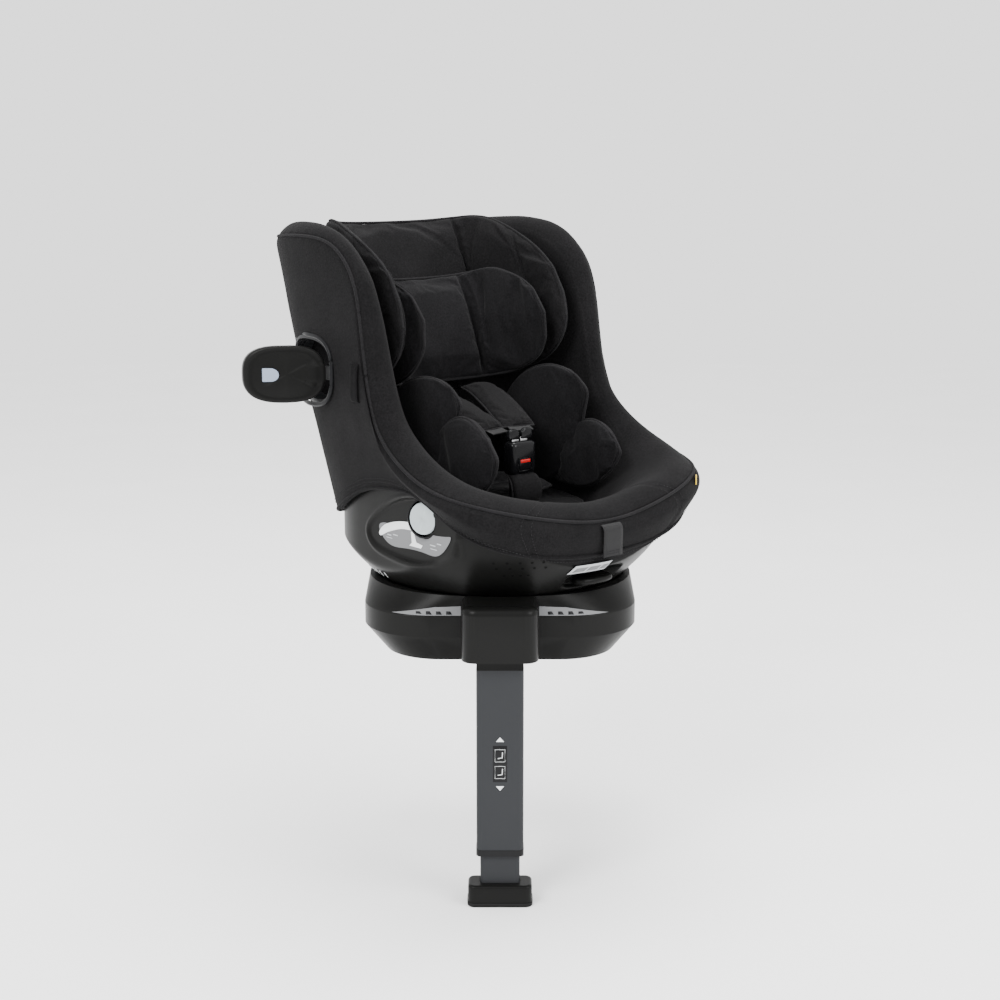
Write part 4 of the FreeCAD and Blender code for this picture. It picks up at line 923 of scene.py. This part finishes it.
piece(ribbon("crotch_webbing", seat([(0, 43, z) for z in np.linspace(193, 244, 12)]), np.tile(LAT, (12, 1)), 0.0188,
             0.0016, M["webbing"]),
      "seat", "webbing", "crotch_strap")
fall = curve([(0, 224, 192), (0, 234, 194.5), (0, 239.5, 189), (0, 240, 176), (0, 239.6, 163), (0, 239.8, 151)], 40)
piece(ribbon("adjuster_webbing", seat(fall), np.tile(LAT, (40, 1)), 0.0178, 0.0016, M["webbing"]), "seat",
      "webbing", "adjuster_strap")
for k, z in enumerate((155.0, 158.5)):
    piece(stitches(f"adjuster_stitch_{k}", seat([(-15, 240.9, z), (15, 240.9, z)]), M["thread"], 0.0028, 0.0012),
          "seat", "webbing")

case = box_mesh("buckle_case", seat([0, 43.5, 261]), (0.046, 0.0245, 0.049), SEAT_AXES, M["gloss"], 0.0075, 5)
piece(case, "seat", "plastic_black", "buckle_body")
piece(box_mesh("buckle_push", seat([0, 54.0, 252]), (0.0215, 0.0060, 0.0155), SEAT_AXES, M["gloss"], 0.0022, 4),
      "buckle_release", "button_red", "buckle_button")
piece(box_mesh("buckle_push_inlay", seat([0, 56.6, 257.4]), (0.0180, 0.0016, 0.0048), SEAT_AXES, M["red"], 0.0007,
               3), "buckle_release", "button_red")
push_frame = seat([(-12.5, 55.9, 243), (12.5, 55.9, 243), (12.5, 55.9, 261.5), (-12.5, 55.9, 261.5)])
piece(tube("buckle_button_frame", push_frame, 0.0011, M["gloss"], closed=True), "seat", "plastic_black")
for side, word in SIDES:
    pts = [(2, 287.5), (21, 287.5), (22.5, 294), (20, 302), (8, 303), (2, 298)]
    o = outline_slab("tongue_grip_" + word,
                     seat([(side * x, 39.3, z) for x, z in (pts if side > 0 else pts[::-1])]), 0.0072, FWD,
                     M["gloss"], 0.002, 4)
    piece(o, "seat", "plastic_black", "buckle_tongue_" + word)
    piece(box_mesh("tongue_blade_" + word, seat([side * 8, 43, 286.5]), (0.013, 0.0018, 0.008), SEAT_AXES,
                   M["steel"], 0.0004, 2), "seat", "steel")
    loop = curve([(side * 224, -40, 405), (side * 229.0, -39, 401), (side * 230.4, -39, 379),
                  (side * 229.5, -39, 357), (side * 225, -39, 352)], 24)
    piece(ribbon("holder_loop_" + word, seat(loop), np.tile(FWD, (24, 1)), 0.0082, 0.0016, M["lining"]), "seat",
          "webbing", "harness_holders")


# ---- side guards ---------------------------------------------------------------------------------
HINGE_L, HINGE_F, GUARD_OPEN = 226.0, -106.0, math.radians(72.0)
GUARD_FACE = ([-225, -165, -106], [198.0, 217.5, 224.0])      # f, l of the outer face


def guard(side, opened):
    """The guard panel: a domed oval plate with a raised rim, hinged on its front edge."""
    a = turn(72)
    c, s = np.cos(a), np.sin(a)
    c, s = np.sign(c) * np.abs(c) ** 0.72, np.sign(s) * np.abs(s) ** 0.72
    rings = [(0.0, 3.0), (0.35, 2.9), (0.62, 2.2), (0.78, 1.0), (0.84, 0.2), (0.90, 1.4), (0.96, 1.2),
             (0.995, -0.8), (1.0, -5.0), (0.985, -13.5), (0.93, -16.0), (0.5, -16.5), (0.0, -16.5)]
    rows = []
    for r, h in rings:
        f, z = GUARD_F + 56 * max(r, 1e-3) * c, GUARD_Z + 40.2 * max(r, 1e-3) * s
        bend = np.interp(f, *GUARD_FACE)
        at_hinge = (f > -140) & (np.abs(z - GUARD_Z) < 13.5)
        clear_of_block = np.maximum(bend + h, 225.0 + max(h, -1.5) * 0.3)
        rows.append(np.stack([np.where(at_hinge, clear_of_block, bend + h), f, z], -1))
    return place_guard(np.array(rows), side, opened)


def place_guard(q, side, opened):
    """Points of a closed left guard, swung open where asked and mirrored for the right side."""
    q = np.array(q, float)
    if opened:
        x, y = q[..., 0] - HINGE_L, HINGE_F - q[..., 1]
        c, s = math.cos(GUARD_OPEN), math.sin(GUARD_OPEN)
        q = np.stack([HINGE_L + x * c + y * s, HINGE_F + x * s - y * c, q[..., 2]], -1)
    q[..., 0] *= side
    return q


for side, word, opened in ((1, "left", False), (-1, "right", True)):
    p = guard(side, opened)
    faces = grid_faces(len(p), 72, True)
    if side < 0:
        faces = [f[::-1] for f in faces]
    o = mesh_object("guard_plate_" + word, seat(p).reshape(-1, 3), faces, M["dark"])
    piece(o, "guard_" + word, "plastic_grey", "guard_panel_" + word)
    d = [(-1, 1)] + [(math.cos(a), math.sin(a)) for a in np.linspace(math.pi / 2, -math.pi / 2, 13)] + [(-1, -1)]
    out = np.array([(0.0, -186 + 11 * x, GUARD_Z + 9.5 * y) for x, y in d])
    out[:, 0] = np.interp(out[:, 1], *GUARD_FACE) + 2.2
    nrm = place_guard(out + (2.6, 0, 0), side, opened) - place_guard(out, side, opened)
    a0 = place_guard(out, side, opened)
    if side > 0:
        a0 = a0[::-1]
    axis = unit(seat(nrm[0]))
    btn = outline_slab("guard_latch_" + word, seat(a0), 0.0034, axis, M["blue_grey"], 0.0012, 4)
    piece(btn, "guard_" + word, "plastic_grey")
    lip = oval(GUARD_F, GUARD_Z, 65.5, 49.5, 0, 96)
    lip[:, 0] = side * np.interp(lip[:, 1], [-232, -165, -98], [196.0, 219.0, 224.5])
    piece(tube("guard_opening_trim_" + word, seat(lip), 0.0032, M["grey"], closed=True, sides=10), "seat",
          "plastic_grey")

# ---- front of the bowl: lever, sticker, vents as discs of painted shade, recline marks -----------
GRIP = [(-31, 188), (31, 188), (33, 200), (27, 211), (12, 215), (-12, 215), (-27, 211), (-33, 200)]
lever = outline_slab("recline_grip", seat([(l, f, 107.2) for l, f in GRIP]), 0.0095, UPZ, M["dark"], 0.004, 5)
piece(lever, "recline_release", "plastic_black", "recline_lever")


def on_bowl(l, z):
    """A point on the front of the bowl's sphere at lateral l and height z, with its outward normal."""
    r = math.sqrt(BOWL_R ** 2 - (BOWL_Z - z) ** 2)
    f = math.sqrt(max(r * r - l * l, 0))
    n = np.array([l, f, z - BOWL_Z]) / BOWL_R
    return np.array([l, f, z]), n


def bowl_patch(name, l0, l1, z0, z1, mat, lift, skew):
    """A film on the front of the bowl, lift mm off it, its upper edge skew mm further along l."""
    u, v = np.meshgrid(np.linspace(0, 1, 12), np.linspace(0, 1, 6), indexing="ij")
    pts = np.zeros((*u.shape, 3))
    for i in range(u.shape[0]):
        for j in range(u.shape[1]):
            l = l0 + (l1 - l0) * u[i, j] + skew * v[i, j]
            q, n = on_bowl(l, z0 + (z1 - z0) * v[i, j])
            pts[i, j] = q + n * lift
    o = mesh_object(name, seat(pts).reshape(-1, 3), grid_faces(12, 6, False), mat)
    s = o.modifiers.new("film", "SOLIDIFY")
    s.thickness = 0.0004
    piece(o, "seat", "label_grey")


bowl_patch("front_label", -58, 4, 129, 142, M["label_light"], 0.9, 6)
for k, (a, b) in enumerate(((-52, -34), (-30, -12), (-8, 2))):
    bowl_patch(f"front_label_mark_{k}", a, b, 132, 138, M["label"], 1.4, 4)


def bowl_dots(name, spots, radius, mat):
    """Small discs on the bowl's sphere, dark ones painted shade for holes; spots are points with their normals."""
    verts, faces = [], []
    for q, n in spots:
        a = unit(np.cross(n, (0, 0, 1)))
        b = np.cross(n, a)
        faces.append(tuple(range(len(verts), len(verts) + 14)))
        for t in turn(14):
            verts.append(seat(q + n * 0.25 + radius * (math.cos(t) * a + math.sin(t) * b)))
    piece(mesh_object(name, verts, faces, mat), "seat", "plastic_dark")


VENT_ROWS = [(153, -158, 14, 5), (144, -151, 14, 5), (132, -137, 9, 4)]
for side, word in SIDES:
    spots = [on_bowl(-side * (l + k * step), z) for z, l, step, n in VENT_ROWS for k in range(n)]
    # flat near-black discs: painted shade where the vent holes are
    bowl_dots("vent_shade_discs_" + word, spots, 2.0, M["hole"])
    for k in range(5):
        f0, line = -72 + 13 * k, []
        for t in np.linspace(0, 1, 6):
            z, f = 101 + 10 * t, f0 + 5 * t
            rr = math.sqrt(BOWL_R ** 2 - (BOWL_Z - z) ** 2)
            line.append((side * (math.sqrt(rr * rr - f * f) + 0.3), f, z))
        piece(tube(f"recline_mark_{word}_{k}", seat(line), 0.0005, M["white"], sides=6), "seat", "label_grey")
at = int(round(11.2 / RING_POINTS * AROUND))
base_at = cover_pts[row_near(T_SEAM - 0.03), at]
piece(box_mesh("side_tag", base_at + LAT * 0.002 + FWD * 0.002, (0.011, 0.0014, 0.013),
               ((LAT - FWD) * 0.7071, (LAT + FWD) * 0.7071, UPZ), M["yellow"], 0.0004, 2), "seat", "fabric")

# ---- leg plate: a generic up and down pictogram ----------------------------------------------------
LEG_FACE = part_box("leg_outer_tube")[0][1] - 0.0003
PLATE_Z = -0.130
X3, Y3, Z3 = np.eye(3)
piece(box_mesh("leg_plate", (0, LEG_FACE + 0.0002, PLATE_Z), (0.019, 0.0005, 0.052), (X3, Y3, Z3), M["gloss"],
               0.0002, 2), "leg_upper", "label_grey")
for k, z in enumerate((PLATE_Z + 0.012, PLATE_Z - 0.012)):
    ring_pts = [(x * 0.0068, LEG_FACE - 0.0002, z + y * 0.0088) for x, y in [(-1, -1), (1, -1), (1, 1), (-1, 1)]]
    piece(tube(f"leg_plate_frame_{k}", ring_pts, 0.0004, M["white"], closed=True, sides=6), "leg_upper",
          "label_grey")
    hook = [(x, LEG_FACE - 0.0002, z + d) for x, d in ((-0.003, -0.004), (0.003, -0.003), (0.0035, 0.005))]
    piece(tube(f"leg_plate_icon_{k}", hook, 0.0007, M["white"], sides=6), "leg_upper", "label_grey")
for k, (z, d) in enumerate(((PLATE_Z + 0.032, 1), (PLATE_Z - 0.032, -1))):
    arrow = [(-0.0055, LEG_FACE, z), (0.0055, LEG_FACE, z), (0, LEG_FACE, z + d * 0.0065)][::d]
    piece(outline_slab(f"leg_plate_arrow_{k}", arrow, 0.0004, -Y3, M["white"], 0.0001, 1), "leg_upper",
          "label_grey")

# ---- base labels: rows of generic marks laid on the plates ------------------------------------------
LABEL_Z = 0.0692
plate = BVHTree.FromObject(frame["nodes"]["base_labels"], bpy.context.evaluated_depsgraph_get())
mark_v, mark_f = [], []
for x in (-0.112, -0.098, -0.084, -0.070, 0.070, 0.084, 0.098, 0.112):
    tall = 0.0030 if abs(x) > 0.1 else 0.0044
    corners = [(x - 0.0040, -tall / 2), (x + 0.0040, -tall / 2), (x + 0.0015, tall / 2), (x - 0.0040, tall / 2)]
    hits = [plate.ray_cast(Vector((cx, -0.4, LABEL_Z + cz)), Vector((0, 1, 0)))[0] for cx, cz in corners]
    if all(hits):
        k = len(mark_v)
        mark_v += [tuple(h + Vector((0, d, 0))) for d in (-0.0004, 0.0004) for h in hits]
        mark_f += [(k, k + 1, k + 2, k + 3), (k + 7, k + 6, k + 5, k + 4)]
        mark_f += [(k + i, k + 4 + i, k + 4 + (i + 1) % 4, k + (i + 1) % 4) for i in range(4)]
piece(mesh_object("base_label_marks", mark_v, mark_f, M["grey"]), "base", "label_grey")

# ---- stage: floor, light, camera -----------------------------------------------------------------
FLOOR_Z, HALF_FLOOR = -0.3371, 6.0
corners = [(x * HALF_FLOOR, y * HALF_FLOOR, FLOOR_Z) for x, y in ((-1, -1), (1, -1), (1, 1), (-1, 1))]
floor = mesh_object("floor", corners, [(0, 1, 2, 3)], None, False)
paper, nt, _, lk, bs, co = nodes_for("floor_paper")
tone = ramp(nt, add_noise(nt, co, 3.0).outputs["Fac"], [(0.3, (0.95, 0.95, 0.95)), (0.7, (0.98, 0.98, 0.98))])
lk.new(tone.outputs["Color"], bs.inputs["Base Color"])
bs.inputs["Roughness"].default_value = 0.9
floor.data.materials.append(paper)

world = bpy.data.worlds.new("studio")
bpy.context.scene.world = world
world.use_nodes = True
sky = world.node_tree.nodes["Background"].inputs
sky["Color"].default_value, sky["Strength"].default_value = (1, 1, 1, 1), 1.9


def area_light(name, at, size, watts):
    """A round light turned to the middle of the seat."""
    d = bpy.data.lights.new(name, "AREA")
    d.shape, d.size, d.energy = "DISK", size, watts
    o = bpy.data.objects.new(name, d)
    o.location = at
    o.rotation_euler = (Vector((0, 0, 0.3)) - Vector(at)).to_track_quat("-Z", "Y").to_euler()
    bpy.context.scene.collection.objects.link(o)


area_light("key", (-1.6, -2.2, 2.4), 1.6, 120)
area_light("fill", (2.2, -1.6, 1.6), 1.8, 75)
area_light("top", (0.2, 0.6, 2.8), 1.6, 85)

cam_data = bpy.data.cameras.new("camera")
cam_data.sensor_width, cam_data.lens = 36.0, 60.44
camera = bpy.data.objects.new("camera", cam_data)
camera.location = (0.0, -2.410, 0.6836)
camera.rotation_euler = (math.radians(90) - 0.2015, 0, 0)
bpy.context.scene.collection.objects.link(camera)
bpy.context.scene.camera = camera
